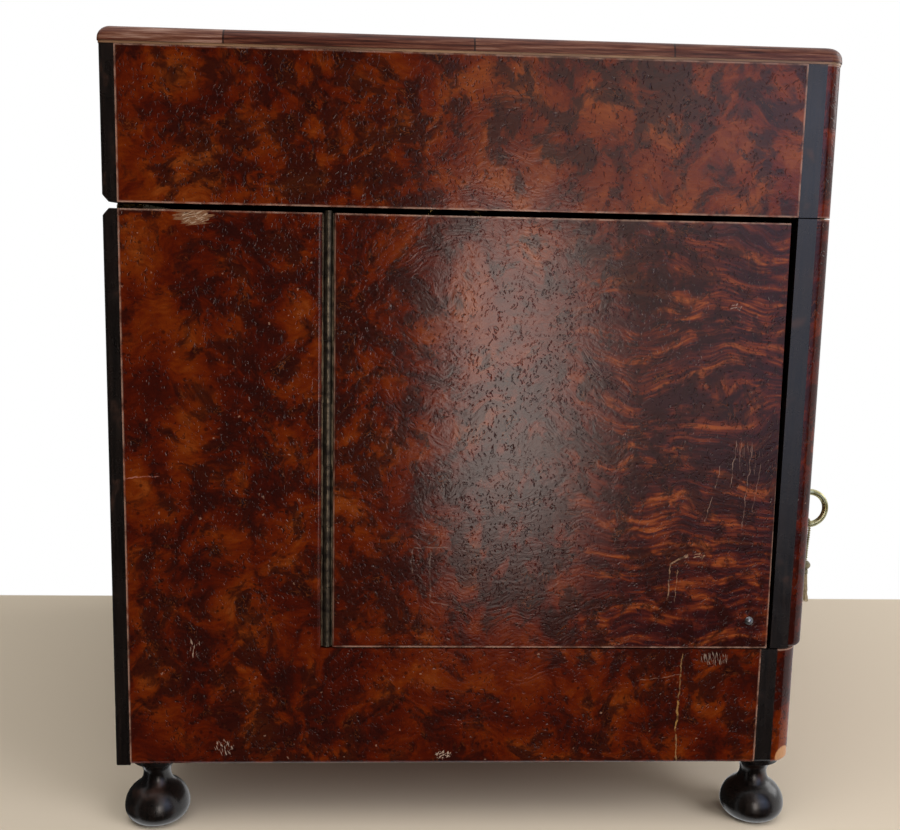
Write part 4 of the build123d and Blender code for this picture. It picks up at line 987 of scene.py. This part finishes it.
def soft_lamp(name, place, aim, size, power, colour, in_reflections):
    """A rectangular lamp that faces its aim."""
    data = bpy.data.lights.new(name, "AREA")
    data.shape = "RECTANGLE"
    data.size, data.size_y = size
    data.energy = power
    data.color = linear(colour)[:3]
    lamp = bpy.data.objects.new(name, data)
    turn = (Vector(aim) - Vector(place)).to_track_quat("-Z", "Y")
    lamp.matrix_world = Matrix.Translation(place) @ turn.to_matrix().to_4x4()
    lamp.visible_glossy = in_reflections
    scene.collection.objects.link(lamp)


ROOM_LIGHT = 0.35  # what the white room sheds, where 1 is what the eye sees


def light_room():
    """A white room for the eye, a softer one for the light it sheds, and three soft lamps."""
    world = bpy.data.worlds.new("studio")
    scene.world = world
    world.use_nodes = True
    tree = world.node_tree
    tree.nodes.clear()
    path = add(tree, "ShaderNodeLightPath")
    seen = path.outputs["Is Camera Ray"]
    for ray in ("Is Glossy Ray", "Is Transmission Ray"):
        seen = add(tree, "ShaderNodeMath", {0: seen, 1: path.outputs[ray]}, operation="MAXIMUM")
    strength = add(
        tree, "ShaderNodeMapRange", {"Value": seen, "To Min": ROOM_LIGHT, "To Max": 1.0}
    )
    backdrop = add(tree, "ShaderNodeBackground", {"Color": linear("#ffffff"), "Strength": strength})
    add(tree, "ShaderNodeOutputWorld", {"Surface": backdrop})
    for lamp in LAMPS:
        soft_lamp(*lamp)


# Where the cards stand, in metres. The right one starts behind the chest's front, which keeps the
# white room to mirror.
LEFT_X, RIGHT_X, RIGHT_START, BACK_Y = -0.75, 1.5, -0.13, 1.6
CARD_SIDE, CARD_HEIGHT = 1.3, 1.5  # to each side of the middle
DARKNESS = 0.03  # what the dark cards still shed
# The window's glows on the left card, in mm: where each starts, is full, starts to fade and ends,
# along Y and then along Z, and its strength. They turn bluer toward the front.
COOLER = (-150.0, -420.0)
GLOWS = [
    ((-5.0, -42.0, -85.0, -200.0), (-170.0, 40.0, 190.0, 300.0), 9.0),
    ((40.0, -130.0, -500.0, -1000.0), (200.0, 330.0, 900.0, 1400.0), 1.6),
    ((-120.0, -250.0, -500.0, -1100.0), (-120.0, 80.0, 300.0, 500.0), 1.5),
]


def hang_room_cards():
    """What the polish mirrors: a dark room behind the viewer with the soft glow of a window, and
    dark walls to the right of the chest and behind it. Only reflections show them."""
    finish, tree, mm = new_finish("dark_room_with_window_glow")
    axes = add(tree, "ShaderNodeSeparateXYZ", {"Vector": mm})
    glow = 0.0
    for across, upward, strength in GLOWS:
        patch = strength
        for axis, (start, full, fading, end) in (("Y", across), ("Z", upward)):
            for low, high in ((start, full), (end, fading)):
                patch = times(tree, ramp_between(tree, axes.outputs[axis], low, high), patch)
        glow = add(tree, "ShaderNodeMath", {0: patch, 1: glow}, operation="ADD")
    cool = ramp_between(tree, axes.outputs["Y"], *COOLER)
    tint = add(
        tree,
        "ShaderNodeMix",
        {"Factor": cool, "A": linear("#fdf1e8"), "B": linear("#c3d6ff")},
        data_type="RGBA",
    )
    light = add(tree, "ShaderNodeEmission", {"Color": tint, "Strength": glow})
    add(tree, "ShaderNodeOutputMaterial", {"Surface": light})
    dark, dark_tree, _ = new_finish("dark_room")
    unlit = add(dark_tree, "ShaderNodeEmission", {"Strength": DARKNESS})
    add(dark_tree, "ShaderNodeOutputMaterial", {"Surface": unlit})
    walls = (
        ("room_card", finish, (LEFT_X, CARD_SIDE), (LEFT_X, -CARD_SIDE)),
        ("right_room_card", dark, (RIGHT_X, RIGHT_START), (RIGHT_X, BACK_Y)),
        ("back_room_card", dark, (RIGHT_X, BACK_Y), (LEFT_X, BACK_Y)),
    )
    for name, look, start, end in walls:
        low, high = (-CARD_HEIGHT,), (CARD_HEIGHT,)
        corners = [start + low, end + low, end + high, start + high]
        card = new_piece(name, corners, [(0, 1, 2, 3)], look, smooth=False)
        card.visible_camera = False
        card.visible_diffuse = False
        card.visible_transmission = False
        card.visible_shadow = False


CLOTH_EDGE = 137.0  # mm beyond the chest's middle
EDGE_BLUR = 2.0  # mm
CLOTH_FADE = (600.0, 1500.0)  # mm from the chest, over which it turns white
FLOOR_REACH = 6.0  # m
HIDDEN = (-0.385, 0.245)  # slopes, from the camera, between which the chest hides the floor
SOFT_SLOPE = 0.16  # over which the cloth fades to white within them


def lay_floor():
    """A plain pale cloth under the chest, which keeps its shadow, and white beyond its far edge
    on both sides of the chest."""
    finish, tree, mm = new_finish("cloth_plain_pale")
    axes = add(tree, "ShaderNodeSeparateXYZ", {"Vector": mm})
    beyond = ramp_between(tree, axes.outputs["X"], CLOTH_EDGE, CLOTH_EDGE + EDGE_BLUR)
    ahead, aside = (
        add(
            tree,
            "ShaderNodeMath",
            {0: axes.outputs[axis], 1: CAMERA_PLACE[axis] / MM},
            operation="SUBTRACT",
        )
        for axis in (0, 1)
    )
    slope = add(tree, "ShaderNodeMath", {0: aside, 1: ahead}, operation="DIVIDE")
    middle_slope, half_slope = sum(HIDDEN) / 2, (HIDDEN[1] - HIDDEN[0]) / 2
    turned = add(tree, "ShaderNodeMath", {0: slope, 1: middle_slope}, operation="SUBTRACT")
    outward = add(tree, "ShaderNodeMath", {0: turned}, operation="ABSOLUTE")
    beside = ramp_between(tree, outward, half_slope - SOFT_SLOPE, half_slope)
    middle = add(tree, "ShaderNodeVectorMath", {0: mm}, operation="LENGTH")
    faded = ramp_between(tree, middle.outputs["Value"], *CLOTH_FADE)
    cut_off = times(tree, beyond, beside)
    white = add(tree, "ShaderNodeMath", {0: cut_off, 1: faded}, operation="MAXIMUM")
    path = add(tree, "ShaderNodeLightPath")
    seen = times(tree, white, path.outputs["Is Camera Ray"])
    cloth = add(
        tree,
        "ShaderNodeBsdfPrincipled",
        {"Base Color": linear("#d8c9b3"), "Roughness": 0.95, "Specular IOR Level": 0.1},
    )
    paper = add(tree, "ShaderNodeEmission", {"Color": linear("#ffffff"), "Strength": 1.0})
    both = add(tree, "ShaderNodeMixShader", {0: seen, 1: cloth, 2: paper})
    add(tree, "ShaderNodeOutputMaterial", {"Surface": both})
    reach = FLOOR_REACH
    corners = [(-reach, -reach, 0), (reach, -reach, 0), (reach, reach, 0), (-reach, reach, 0)]
    floor = new_piece("floor", corners, [(0, 1, 2, 3)], finish, smooth=False)
    floor.visible_glossy = False


set_camera()
light_room()
hang_room_cards()
lay_floor()
scene.view_settings.view_transform = "Standard"
